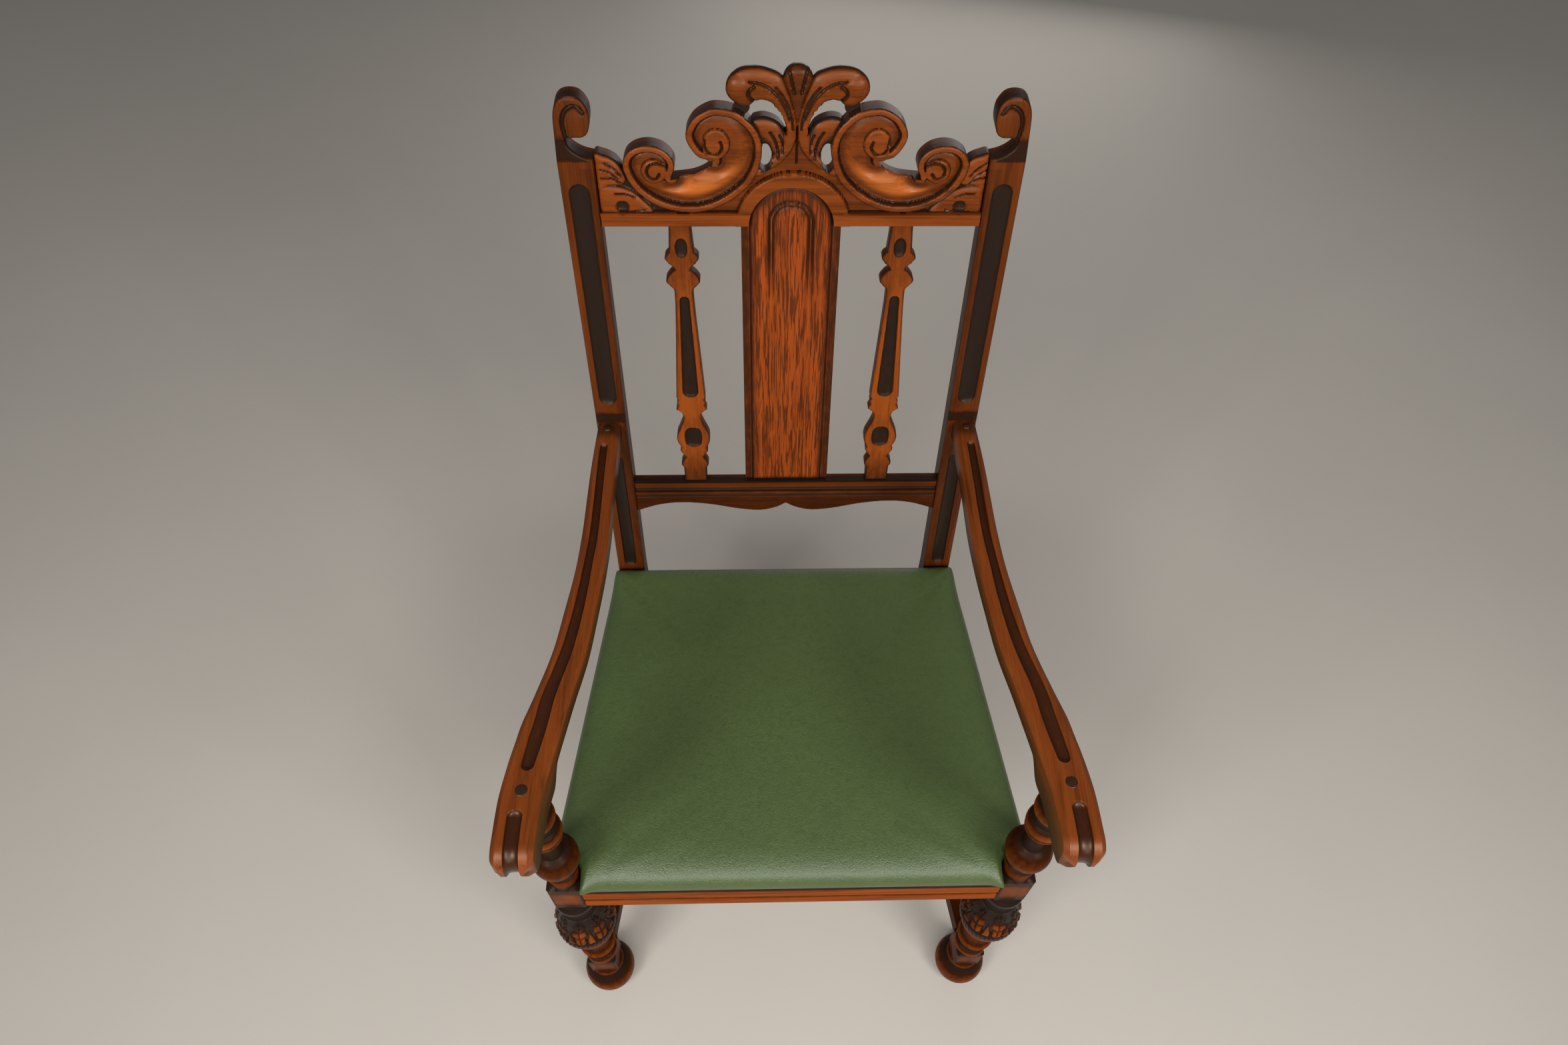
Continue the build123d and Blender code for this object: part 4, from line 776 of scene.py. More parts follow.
def baluster_face(sizes):
    """Face of a baluster: two round hollows and a long tapered one, each a dished bowl below the face."""
    fret = sizes.fret_depth / MM

    def face(x, up, used):
        z = block_top + up / slope
        ax = x - baluster_x
        inner = -baluster_distance(x, up)
        deep = splat_field + pillow(inner, 1.8, 1.6)
        heights, halves = np.array(long_hollow).T
        middle = np.clip(z, *heights)
        hollow = np.hypot(ax, z - middle) - np.interp(z, heights, halves)
        for centre, half_wide, half_tall, power in round_hollows:
            ring = np.abs(ax / half_wide) ** power + np.abs((z - centre) / half_tall) ** power
            hollow = np.minimum(hollow, (ring ** (1 / power) - 1) * half_wide)
        deep = deep + fret * np.sqrt(np.clip(1 - (1 - np.clip(-hollow / 4.5, 0, 1)) ** 2, 0, 1))
        stain = np.interp(z, *np.array(baluster_tones).T) + 0.5 * ease(1 - inner / 3.2)
        return deep, np.maximum(stain, 0.97 * ease((0.5 - hollow) / 1.4))

    return face


lower_rail_front, lower_rail_back = 2.0, 17.0
lower_rail_low, lower_rail_top = 610.0, 662.0
# Height, half width and depth of the moulding's dark hollow, round bead and fine line
moulding_hollow, moulding_bead, moulding_line = (649.0, 3.2, 3.6), (642.0, 3.2, 2.2), (637.6, 0.9, 1.6)
lower_rail_edge = [
    (0, 623.8), (12, 616.3), (32, 610.8), (60, 613.3), (100, 622.3), (135, 625.8), (165, 622.3),
    (195.5, 611.3),
]


def lower_rail_distance(x, up):
    """Distance to the lower rail's outline: straight above, bowed below."""
    z = block_top + up / slope
    edge = smooth_line(lower_rail_edge, steps=5)
    bottom = np.interp(np.abs(x), edge[:, 0], edge[:, 1])
    return np.maximum(np.maximum(z - lower_rail_top, 0.9 * (bottom - z)), np.abs(x) - post_inner)


def lower_rail_face(x, up, used):
    """Face of the lower rail: a band, a dark hollow, a round bead and a fine line, over a plain band."""
    z = block_top + up / slope
    inner = -lower_rail_distance(x, up)
    hollow, bead, line = z - moulding_hollow[0], z - moulding_bead[0], z - moulding_line[0]
    deep = lower_rail_front + pillow(inner, 1.6, 1.4) + cut(hollow, *moulding_hollow[1:])
    deep = deep + np.where(np.abs(bead) < moulding_bead[1], 1.2 - cut(bead, *moulding_bead[1:]), 0)
    deep = deep + cut(line, *moulding_line[1:])
    stain = np.maximum(0.3 * ease((1 - hollow) / 4), 0.97 * ease(1.5 - np.abs(hollow) / 3.4))
    stain = np.maximum(stain, 0.9 * ease(1.4 - np.abs(line)))
    stain = np.maximum(stain, 0.9 * ease((z - lower_rail_top + 1.6) / 1.2))
    return deep, stain


# Front seat rail

# Height, half width and depth of the groove, and height and fade of the dark strip under the seat,
# a painted shadow of the seat pad
rail_groove = (444.0, 3.6, 3.4)
rail_strip = (14.0, 8.0)
rail_depth = 24.0


def rail_face(x, z, used):
    """Face of the front rail: flat, with one fine groove and eased edges."""
    middle, half, depth = rail_groove
    inner = np.minimum(z - rail_base, rail_top - z)
    deep = pillow(inner, 2.5, 2.0) + cut(z - middle, half, depth)
    stain = 0.95 * ease(1.4 - np.abs(z - middle) / half)
    # Painted shadow: a dark strip along the top of the rail, under the edge of the seat pad
    stain = np.maximum(stain, 0.9 * ease((z - rail_top + rail_strip[0]) / rail_strip[1]))
    return deep, stain


# Arms

arm_front_top, arm_rear_top = 751.93, 765.93
arm_thickness = 26.0
hand_thickness = arm_front_top - arm_under
# Stretch behind the leg axis where the hand thins to the arm
hand_sweep = (15.0, 40.0)
# The arm's and its groove's place behind the leg axis, middle and width
arm_stations = [
    (-75, 271.8, 41.0), (-50, 271.5, 41.0), (-20, 270.5, 41.8), (0, 268.8, 42.4), (30, 263.8, 43.0),
    (50, 260, 42.4), (70, 256, 42.0), (100, 248.5, 38.4), (150, 236.5, 35.0), (200, 229.5, 33.0),
    (250, 223.5, 31.0), (300, 220.3, 30.3), (350, 219.5, 29.2), (400, 218.2, 28.5), (456, 216, 26.0),
]
groove_stations = [
    (-80, 272, 15.0), (-20, 271.5, 15.0), (20, 266, 13.0), (30, 264.5, 13.6), (50, 260.7, 15.0),
    (70, 257, 14.8), (100, 252, 14.2), (150, 238.7, 12.8), (200, 230.5, 11.4), (250, 225.5, 10.0),
    (300, 221.7, 9.6), (400, 220.3, 9.4), (456, 218, 9.0),
]
long_groove = (20.0, 424.0)
nose_groove_start = -19.0
nose_corner = 8.0
groove_stain = 0.62
hand_rows_end = 60.0


def arm_shape(sizes):
    """Right arm: a ribbon of cross lines that runs forward on top, round the nose and back underneath.

    Each row is a line across the arm at its width and centre there. Columns near the edge fall away as a
    bevel, and columns in a groove fall by half an ellipse. Rows round the nose lie on a half circle in the
    side view, and the two edges of the ribbon are joined by flat sides.
    """
    chamfer = sizes.arm_chamfer / MM
    long_depth = sizes.arm_groove_depth / MM
    nose_depth = sizes.nose_groove_depth / MM
    radius = hand_thickness / 2
    nose_tip = arm_nose - leg_y
    nose_middle = nose_tip + radius
    groove_rows_end = long_groove[1] - 14
    straight = np.concatenate([
        grid_steps(groove_rows_end, arm_rear - leg_y, 0.9)[::-1],
        grid_steps(hand_rows_end, groove_rows_end, 2.4)[::-1][1:],
        grid_steps(nose_middle, hand_rows_end, 0.9)[::-1][1:],
    ])
    turn = np.linspace(0, math.pi / 2, 30)[1:]
    y = np.concatenate([straight, nose_middle - radius * np.sin(turn)])[:, None]
    lift = np.concatenate([np.ones(len(straight)), np.cos(turn)])[:, None]
    fall = np.concatenate([np.zeros(len(straight)), np.sin(turn)])[:, None]
    in_nose = np.arange(len(y))[:, None] >= len(straight)

    def middle_and_half(stations):
        """Middle and half width of the arm or its groove in each row."""
        fine = smooth_line(stations, steps=8)
        return np.interp(y, fine[:, 0], fine[:, 1]), np.interp(y, fine[:, 0], fine[:, 2]) / 2

    centre, half = middle_and_half(arm_stations)
    to_nose = np.clip(y - nose_tip, 0, nose_corner)
    half = half - (nose_corner - np.sqrt(nose_corner ** 2 - (nose_corner - to_nose) ** 2)) * 0.8
    groove_middle, groove_half = middle_and_half(groove_stations)
    groove_centre = groove_middle - centre

    # Columns: bevel, land, groove, land, bevel
    bevel = np.linspace(0, 1, 5)
    land = np.linspace(0, 1, 7)[1:]
    dip = np.linspace(-1, 1, 25)[1:]
    left_land, right_land = chamfer - half, half - chamfer
    groove_left, groove_right = groove_centre - groove_half, groove_centre + groove_half
    across = np.concatenate([
        -half + chamfer * bevel,
        left_land + (groove_left - left_land) * land,
        groove_centre + groove_half * dip,
        groove_right + (right_land - groove_right) * land,
        right_land + chamfer * bevel[1:],
    ], axis=1)
    from_edge = half - np.abs(across)
    edge_fall = np.clip(chamfer - from_edge, 0, chamfer) * 0.85
    offset = (across - groove_centre) / groove_half
    past_ends = np.maximum(long_groove[0] - y, y - long_groove[1]) / groove_half + 1
    past_start = (y - nose_groove_start) / groove_half + 1
    long_dip, short_dip = (
        np.clip(1 - offset ** 2 - np.clip(past, 0, None) ** 2, 0, 1) for past in (past_ends, past_start))
    dip_depth = long_depth * np.sqrt(long_dip) + nose_depth * np.sqrt(short_dip)
    dark = groove_stain * np.maximum(ease(long_dip * 6), ease(short_dip * 6))

    top_z = np.interp(y, [0, arm_rear - leg_y], [arm_front_top, arm_rear_top])
    thin = ease(np.interp(y, hand_sweep, [0, 1]))
    under = top_z - hand_thickness + (hand_thickness - arm_thickness) * thin
    under = np.where(y < hand_sweep[0], arm_under, np.minimum(under, top_z - 20))

    def surface(sink, flat_z, side):
        """Points of the top (side 1) or underside (side -1): flat behind, and on a circle in the nose."""
        reach = radius - sink
        row_y = np.where(in_nose, nose_middle - reach * fall, y)
        z = np.where(in_nose, arm_front_top - radius + side * reach * lift, flat_z - side * sink)
        return np.stack([centre + across, leg_y + row_y, z], -1)

    under_fall = np.clip(2.5 - from_edge, 0, 2.5) * 0.8
    nose_wrap = ease((fall - 0.55) / 0.4) * in_nose
    sink_low = np.maximum(under_fall, edge_fall * nose_wrap) + dip_depth * nose_wrap
    top, low = surface(edge_fall + dip_depth, top_z, 1), surface(sink_low, under, -1)
    ribbon = np.concatenate([top, low[::-1][1:]])
    inner_edge = ease((chamfer + 1 - half - across) / 2)
    rear_dark = 0.5 * ease((y - 428) / 14)
    outer_edge = ease(1 - from_edge / 1.2) * (across > 0)
    stain_top = np.maximum(dark, rear_dark) - 0.04 * inner_edge + 0.2 * outer_edge
    stain_low = dark * nose_wrap + 0.3 + 0.3 * inner_edge * (1 - nose_wrap)
    stain = np.concatenate([stain_top, stain_low[::-1][1:]])

    rows, columns = stain.shape
    number = np.arange(rows * columns).reshape(rows, columns)
    face = np.stack([number[:-1, :-1], number[1:, :-1], number[1:, 1:], number[:-1, 1:]], -1)
    quads, tips = [face.reshape(-1, 4)], []
    middle = rows // 2
    front, back = np.arange(middle - 1), rows - 1 - np.arange(middle - 1)
    for column, order in ((0, 1), (columns - 1, -1)):
        side = np.stack([number[front, column], number[back, column],
                         number[back - 1, column], number[front + 1, column]], 1)
        quads.append(side[:, ::order])
        tips.append(number[[middle - 1, middle + 1, middle], column][::order])
    quads.append(np.stack([number[0, :-1], number[0, 1:], number[-1, 1:], number[-1, :-1]], 1))
    return ribbon.reshape(-1, 3), np.concatenate(quads), np.array(tips), stain.ravel()


# Front legs. The turning is a list of heights and radii, and the tones are heights and stains

leg_turning = [
    (0, 27.0), (4, 29.5), (12, 34), (22, 36.2), (32, 36.2), (44, 33.4), (53, 28.5), (58, 24),
    (60.5, 22.2), (62, 21.6), (63, 23.6), (66, 24), (69, 22), (72, 19.5), (74.5, 18.5), (76, 19),
    (126, 19), (127.5, 17.5), (130, 17.5), (131, 21), (134, 22.8), (138, 23), (142, 22.2), (144, 20.4),
    (145, 18.2), (150, 15.4), (158, 14.2), (166, 15.2), (173, 18.4), (176, 20.6), (177, 24),
    (179, 25.2), (182, 25), (183.5, 22.4), (190, 19.4), (205, 17.2), (222, 16.6), (236, 18.2),
    (248, 22.6), (256, 28.6), (260, 32), (263, 33.4), (271, 33.4), (275, 31.4), (277, 31.4), (279, 34),
    (282, 37.2), (286, 38.5), (292, 38.8), (298, 38.4), (301, 37), (303, 35), (306, 35.6), (316, 35.8),
    (328, 34.6), (342, 31.8), (356, 27.6), (366, 24.4), (369, 22.4), (372, 21), (378, 19.4),
    (384, 19.6), (389, 21.4), (391, 24.2), (395, 26), (400, 26.2), (404, 25.2), (407, 22.4), (411, 20),
    (413, 19), (484, 19), (486, 19.2), (496, 18.4), (502.6, 17.5), (503.4, 16), (504.4, 17.6),
    (507.5, 19.4), (510.6, 18), (511.6, 15.4), (516, 13.4), (522, 13), (525, 13), (526, 16),
    (530, 20.4), (536, 24.4), (543, 26.6), (549, 27), (555, 26.6), (562, 24.2), (568, 20.2),
    (572.5, 13.4), (574, 12.6), (584, 11.6), (600, 11.8), (612, 13.4), (621, 16.6), (623, 16.8),
    (624, 20), (626, 20.6), (627.5, 19.4), (629, 19.4), (633, 21.4), (639, 21.8), (645, 21),
    (649, 18.8), (650.5, 16.2), (655, 14.4), (660, 13.8), (666, 14.6), (669, 16.4), (670.2, 19),
    (675, 20.8), (681, 21.2), (687, 20.4), (692, 18), (694, 15.6), (700, 14.2), (706, 13.6),
    (725.9, 13.6),
]
leg_tones = [
    (0, 0.6), (12, 0.3), (22, -0.05), (34, 0.0), (46, 0.5), (56, 0.95), (62, 0.9), (66, 0.1), (72, 0.8),
    (128, 0.95), (132, 0.2), (137, -0.1), (142, 0.3), (146, 0.95), (172, 0.95), (178, 0.0), (182, 0.1),
    (186, 0.6), (205, 0.25), (236, 0.1), (256, 0.3), (264, -0.1), (270, 0.0), (275, 0.95), (304, 0.95),
    (366, 1.0), (412, 1.0), (485, 0.9), (490, 0.4), (500, 0.2), (503.5, 0.95), (507.5, 0.05),
    (511, 0.95), (524, 1.0), (531, 0.2), (537, -0.1), (545, 0.16), (553, 0.36), (563, 0.5), (573, 0.9),
    (604, 0.9), (617, 0.55), (622, 0.9), (625.5, 0.0), (628.5, 0.85), (634, 0.1), (640, -0.05),
    (646, 0.35), (650, 0.97), (668, 0.97), (672, 0.3), (678, -0.1), (684, 0.1), (690, 0.5), (695, 0.97),
    (727, 0.9),
]
leg_blocks = [(75.0, 127.0, 4.0), (block_base, block_top, 5.0)]
cup_low, cup_top = 304.0, 367.0
rope_low, rope_top = 282.0, 303.0
leaves_round = 8
ropes_round = 40
leg_round_steps, button_round_steps = 192, 48
# Plugs and pegs of the arms: radius and rise of the dome, and the pegs' place from the leg axis
button_wall, button_sink, button_stain = 3.0, 2.9, 0.84
plug_size, peg_size = (6.2, 0.7), (4.6, 1.6)
peg_place = (217.5, 446.5)


def leg_shape(sizes):
    """Right front leg: a turned profile r(z) swept round, square at the blocks, and carved on the cup.

    At a block the radius is that of a square of the block's width, cut back to the turning on a chamfer.
    On the cup, leaves hang from the top: each swells and narrows along its length, with toothed edges,
    and stands above the ground by the leaf relief. The rim below has slanting beads like a rope.
    """
    relief = sizes.leaf_relief / MM
    profile = smooth_line(leg_turning, steps=3)
    heights = np.unique(np.concatenate([profile[:, 0], grid_steps(cup_low, cup_top, 1.0),
                                        grid_steps(rope_low, rope_top, 1.3)]))
    for low, high, cut_back in leg_blocks:
        rows = np.array([0.01, cut_back / 2, cut_back])
        heights = np.concatenate([heights, low + rows, high - rows])
    heights = np.sort(heights)
    keep = np.concatenate([[True], np.diff(heights) > 0.25])
    heights = heights[keep]
    order = np.argsort(profile[:, 0])
    radius = np.interp(heights, profile[order, 0], profile[order, 1])
    angle = np.arange(leg_round_steps) * 2 * math.pi / leg_round_steps
    z, theta = np.meshgrid(heights, angle, indexing="ij")
    r = np.repeat(radius[:, None], leg_round_steps, axis=1)

    # Turned wood: hollows stay dark, ridges are rubbed pale
    stain = np.interp(z, *np.array(leg_tones).T)

    # Leaves on the cup
    part = (cup_top - z) / (cup_top - cup_low)
    on_cup = (part > 0) & (part < 1)
    p = np.clip(part, 0, 1)
    turn = theta * leaves_round / (2 * math.pi) + 0.06 * np.sin(3 * theta + 5 * p)
    off = np.abs(turn - np.round(turn)) * 2
    between = np.abs(turn - 0.5 - np.round(turn - 0.5)) * 2
    teeth = 0.16 * np.abs(np.sin(p * math.pi * 3.5))
    wide = 0.88 * np.sin(math.pi * np.clip(p * 0.9 + 0.06, 0, 1)) ** 0.6 - teeth
    leaf = ease((wide - off) / 0.2)
    rib = np.exp(-(off / 0.08) ** 2)
    side_vein = np.exp(-((np.mod(p * 3.5 + 0.55 * off, 1) - 0.5) / 0.13) ** 2) * (off > 0.12)
    tip = ease((0.42 * np.clip((p - 0.4) / 0.5, 0, 1) - between) / 0.14)
    height = np.maximum(leaf * (0.7 + 0.3 * np.cos(off * 2.4)), 0.8 * tip)
    curl = 1 + 0.8 * ease((p - 0.68) / 0.2)
    lift = relief * (height * curl - 0.6 * leaf * np.maximum(rib, side_vein) - 0.6)
    r = r + np.where(on_cup, lift * ease(p / 0.08) * ease((1 - p) / 0.05), 0)
    lightened = height * ease((p - 0.12) / 0.4) * (0.7 + 0.3 * np.sin(3 * theta + 0.9))
    carved = np.clip(0.98 - 1.35 * lightened + 0.8 * leaf * np.maximum(rib, side_vein), -0.1, 1)
    stain = np.where(on_cup, carved, stain)

    # Rope rim
    q = np.clip((z - rope_low) / (rope_top - rope_low), 0, 1)
    on_rope = (z > rope_low) & (z < rope_top)
    rope = np.abs(np.sin((theta * ropes_round / 2) + q * 2.2))
    r = r + np.where(on_rope, 1.1 * (rope - 0.7) * np.sin(math.pi * q), 0)
    stain = np.where(on_rope, np.clip(0.95 - 0.45 * rope * np.sin(math.pi * q), 0, 1), stain)

    # Square blocks: the least of the four faces and the eased corners, with chamfered ends
    turned = theta - math.pi / 4
    square = block_half / np.maximum(np.abs(np.cos(theta)), np.abs(np.sin(theta)))
    corner = (block_half * math.sqrt(2) - 1.6) / np.maximum(np.abs(np.cos(turned)), np.abs(np.sin(turned)))
    square = np.minimum(square, corner)
    steep = np.abs(np.tan(theta))
    off_middle = block_half * np.minimum(steep, 1 / np.maximum(steep, 1e-6))
    edge = 0.7 * ease((off_middle - block_half + 6) / 5)
    for low, high, cut_back in leg_blocks:
        inside = (z > low) & (z < high)
        end = np.minimum(z - low, high - z)
        limit = 19 + 14 * ease(end / cut_back) ** 0.8
        r = np.where(inside, np.minimum(square, limit), r)
        flat = ease((end - 2) / (2 * cut_back))
        stain = np.where(inside, np.maximum(0.95 * (1 - flat) + 0.06 * flat, edge), stain)
    rings = np.stack([leg_x + r * np.cos(theta), leg_y + r * np.sin(theta), z], -1)
    surface = closed_rings(rings, (leg_x, leg_y, heights[0]), (leg_x, leg_y, heights[-1]))
    return *surface, np.concatenate([stain.ravel(), [0.5, 0.5]])


def turned_button(x, y, base, radius, rise):
    """Small turned button: a short wall and a dome over it, as rings round an upright line."""
    t = np.linspace(0, 1, 7)[1:-1] * math.pi / 2
    wall_top = base + button_wall
    rings_r = np.concatenate([[radius, radius], radius * np.cos(t)])
    rings_z = np.concatenate([[base, wall_top], wall_top + rise * np.sin(t)])
    angle = np.arange(button_round_steps) * 2 * math.pi / button_round_steps
    z, theta = np.meshgrid(rings_z, angle, indexing="ij")
    r = rings_r[:, None]
    rings = np.stack([x + r * np.cos(theta), y + r * np.sin(theta), z], -1)
    surface = closed_rings(rings, (x, y, base), (x, y, wall_top + rise))
    stain = np.repeat(np.where(rings_r > radius * 0.9, 1.0, button_stain), button_round_steps)
    return *surface, np.concatenate([stain, [button_stain, button_stain]])


def joined(shapes):
    """Several closed shapes as one."""
    starts = np.cumsum([0] + [len(shape[0]) for shape in shapes])
    moved = [(points, quads + start, triangles + start, stain)
             for (points, quads, triangles, stain), start in zip(shapes, starts)]
    return tuple(np.concatenate(arrays) for arrays in zip(*moved))


# Seat pad

# Front and rear edges behind the leg axes, half widths there, and the corner of the notches round the legs
seat_front, seat_rear = -22.0, 413.4
seat_half_front, seat_half_rear = 284.0, 235.5
seat_notch = (245.4, 23.1)
# Height of the upright sides, of the rounded shoulder and of the crown, and the shoulder's width
seat_side, seat_shoulder, seat_crown = 12.0, 20.0, 4.0
seat_roll = 27.0
# How fast the ways to the front, the notches and the rear count; below 1 the shoulder there is wider
seat_front_share = 0.55
seat_notch_share = 2.4
seat_rear_share = 0.6
# The cover swells over the leg blocks: how far at most, to which distance from the leg's axis, and its fade
seat_swell_most = 9.0
seat_swell_reach = 20.3
seat_swell_fade = 22.0
# The rear edge is lifted, over this stretch
seat_rear_lift = (7.5, 60.0)
# Pocket for the board: way in from the edge, and depth
seat_pocket = (38.0, 9.4)
seat_tuck = 0.9965
seat_step = 5.0
# Limit of the cloth's movement sideways
seat_side_swell = 1.6
# Gathers at the rear corners: height, reach and number in a turn
seat_gathers = (1.3, 26.0, 14)
# The cover as cloth, held below the top of the board's pocket and blown up for some frames
cloth_settings = {
    "quality": 6, "mass": 0.4, "tension_stiffness": 25, "compression_stiffness": 25, "shear_stiffness": 12,
    "bending_stiffness": 4, "use_pressure": True, "uniform_pressure_force": 4, "vertex_group_mass": "held",
}
cloth_frames = 20
held_height = 9.8


def seat_room(off, edge):
    """How far the cover can swell towards a leg: edge - sqrt(reach^2 - off^2), at most seat_swell_most."""
    return np.clip(edge - np.sqrt(np.maximum(seat_swell_reach ** 2 - off ** 2, 0.0)), 0.0, seat_swell_most)


def seat_half(y):
    """Half of the seat's width; y is from the front legs."""
    return seat_half_front + (seat_half_rear - seat_half_front) * y / (post_y - leg_y)


def seat_edges(x, y):
    """Distances to the seat's sides, front, rear and leg notches, below 0 inside."""
    ax = np.abs(x)
    half = seat_half(y)
    beside, ahead = ax - seat_notch[0], seat_notch[1] - y
    notch = np.where((beside < 0) & (ahead < 0), -np.hypot(beside, ahead), np.minimum(beside, ahead))
    return [0.993 * (ax - half), seat_front_share * (seat_front - y), seat_rear_share * (y - seat_rear),
            seat_notch_share * notch]


def seat_distance(x, y):
    """Distance to the seat's outline seen from above."""
    return np.maximum.reduce(seat_edges(x, y))


def seat_form():
    """Closed form of the seat pad before it is filled.

    The top rises from the outline on a quarter of a rounded square, to a crown in the middle. How far in a
    point lies is (sum of d^-4)^(-1/4) over its ways d to the edges, which rounds the corners. At the rear
    corners it is gathered in small waves. The underside is flat, with a pocket for the board.
    """
    def wide(across, y):
        return across * seat_half(y) / seat_half_front

    def face(across, y, used):
        x = wide(across, y)
        inner = sum(np.clip(-edge, 0.05, None) ** -4.0 for edge in seat_edges(x, y)) ** -0.25
        t = 1 - np.clip(inner / seat_roll, 0, 1)
        rise = seat_side + seat_shoulder * (1 - t ** 2.4) ** (1 / 2.4) + seat_crown * ease(inner / 160)
        lift, stretch = seat_rear_lift
        rise = rise + lift * ease((y - seat_rear + stretch) / stretch) * (1 - 0.6 * ease(inner / seat_roll))
        height, reach, count = seat_gathers
        beside, behind = seat_half_rear - np.abs(x), seat_rear - y
        far = np.hypot(beside, behind)
        waves = np.cos(count * np.arctan2(beside, behind)) * np.exp(-(far / reach) ** 2) * ease(far / 9)
        return rise + height * waves * ease(inner / 6), np.zeros(x.shape)

    def outline(across, y):
        return seat_distance(wide(across, y), y)

    def under(across, y):
        return np.where(-outline(across, y) > seat_pocket[0], seat_pocket[1], 0.0)

    def place(across, y, rise):
        x = wide(across, y)
        middle = (seat_front + seat_rear) / 2
        tuck = np.where(rise < 0.5, seat_tuck, 1.0)
        beside, ahead = seat_notch[0] - np.abs(x), y - seat_notch[1]
        side_room = seat_room(np.maximum(y, 0.0), leg_x - seat_notch[0])
        rear_room = seat_room(np.maximum(leg_x - np.abs(x), 0.0), seat_notch[1])
        swell = ease((rise - 6) / 6)
        for way in (beside, ahead):
            swell = swell * ease(1 - np.maximum(way, 0) / seat_swell_fade)
        x = x + np.sign(x) * swell * side_room
        y = y - swell * rear_room
        return np.stack([x * tuck, middle + (y - middle) * tuck + leg_y, rail_top + rise], axis=-1)

    across = grid_steps(-seat_half_front, seat_half_front, seat_step)
    along = grid_steps(seat_front, seat_rear, seat_step)
    return carved_board(across, along, outline, face, under, place)


def mesh_points(mesh):
    """Points of a mesh as an array, in metres."""
    points = np.empty(len(mesh.vertices) * 3)
    mesh.vertices.foreach_get("co", points)
    return points.reshape(-1, 3)


def fill_seat(piece, most):
    """Blow the pad up with cloth under pressure, held at its underside, and keep a share of the movement.

    The share is the same all over, so that the highest point rises by the limit, and no point moves
    sideways by more than the side limit.
    """
    mesh = piece.data
    start = mesh_points(mesh)
    held = piece.vertex_groups.new(name="held")
    low = np.nonzero(start[:, 2] < (rail_top + held_height) * MM)[0]
    held.add(low.tolist(), 1.0, "REPLACE")
    cloth = piece.modifiers.new("fill", "CLOTH")
    settings = cloth.settings
    for name, value in cloth_settings.items():
        setattr(settings, name, value)
    settings.effector_weights.gravity = 0
    scene = bpy.context.scene
    for number in range(1, cloth_frames + 1):
        scene.frame_set(number)
    graph = bpy.context.evaluated_depsgraph_get()
    end = mesh_points(piece.evaluated_get(graph).data)
    piece.modifiers.remove(cloth)
    scene.frame_set(1)
    move = end - start
    move *= min(1.0, most / move[:, 2].max())
    move[:, :2] = np.clip(move[:, :2], -seat_side_swell * MM, seat_side_swell * MM)
    mesh.vertices.foreach_set("co", (start + move).astype(np.float32).ravel())
    mesh.update()


# Materials


def new_material(name):
    """Empty node material with a Principled shader."""
    material = bpy.data.materials.new(name)
    material.use_nodes = True
    return material, material.node_tree, material.node_tree.nodes["Principled BSDF"]


def add_node(tree, kind, sockets=None, **settings):
    """Node with its settings and socket values."""
    node = tree.nodes.new(kind)
    for key, value in settings.items():
        setattr(node, key, value)
    for key, value in (sockets or {}).items():
        node.inputs[key].default_value = value
    return node


def join(tree, source, target):
    """Link from an output socket to an input socket."""
    tree.links.new(source, target)


def plug(tree, value, socket):
    """Give an input socket a link from another socket, a number or a colour."""
    if isinstance(value, bpy.types.NodeSocket):
        join(tree, value, socket)
    elif isinstance(value, tuple):
        socket.default_value = (*value, 1.0)
    else:
        socket.default_value = value


def object_place(tree):
    """Place of a point in the object's own coordinates."""
    return tree.nodes.new("ShaderNodeTexCoord").outputs["Object"]


def scaled(colour, share):
    """Colour times a share."""
    return tuple(np.array(colour) * share)


def ramp_colour(tree, factor, stops):
    """Colour from a ramp with the given places and colours."""
    node = tree.nodes.new("ShaderNodeValToRGB")
    ramp = node.color_ramp
    while len(ramp.elements) < len(stops):
        ramp.elements.new(0.5)
    for element, (place, colour) in zip(ramp.elements, stops):
        element.position = place
        element.color = (*colour, 1.0)
    join(tree, factor, node.inputs["Fac"])
    return node.outputs["Color"]


def noise_texture(tree, place, **values):
    """Noise at a place, with its socket values."""
    noise = add_node(tree, "ShaderNodeTexNoise", values)
    join(tree, place, noise.inputs["Vector"])
    return noise.outputs["Fac"]


def grain_texture(tree, place, along, fine, length, detail, seed, distortion=0.0):
    """Noise drawn out along the grain: fine across, long along one axis."""
    scale = [fine, fine, fine]
    scale["XYZ".index(along)] = length
    start = (seed, seed * 0.7, seed * 1.3)
    mapping = add_node(tree, "ShaderNodeMapping", {"Scale": scale, "Location": start})
    join(tree, place, mapping.inputs["Vector"])
    return noise_texture(tree, mapping.outputs["Vector"], Scale=1.0, Detail=detail, Roughness=0.58,
                         Distortion=distortion)


def mix_colour(tree, factor, first, second):
    """Mix of two colours, each a socket or a plain colour."""
    node = add_node(tree, "ShaderNodeMix", data_type="RGBA", clamp_factor=True)
    for number, value in ((0, factor), (6, first), (7, second)):
        plug(tree, value, node.inputs[number])
    return node.outputs[2]


def math_node(tree, operation, first, second=0.0, clamp=False):
    """Sum, product or other operation on two values or sockets."""
    node = add_node(tree, "ShaderNodeMath", operation=operation, use_clamp=clamp)
    for number, value in enumerate((first, second)):
        plug(tree, value, node.inputs[number])
    return node.outputs[0]


def stretched(tree, value, share, base, clamp=False):
    """Value times a share plus a base."""
    return math_node(tree, "ADD", math_node(tree, "MULTIPLY", value, share), base, clamp)


def add_bump(tree, shader, height, strength, distance):
    """Fine relief of a surface."""
    bump = add_node(tree, "ShaderNodeBump", {"Strength": strength, "Distance": distance})
    join(tree, height, bump.inputs["Height"])
    join(tree, bump.outputs["Normal"], shader.inputs["Normal"])


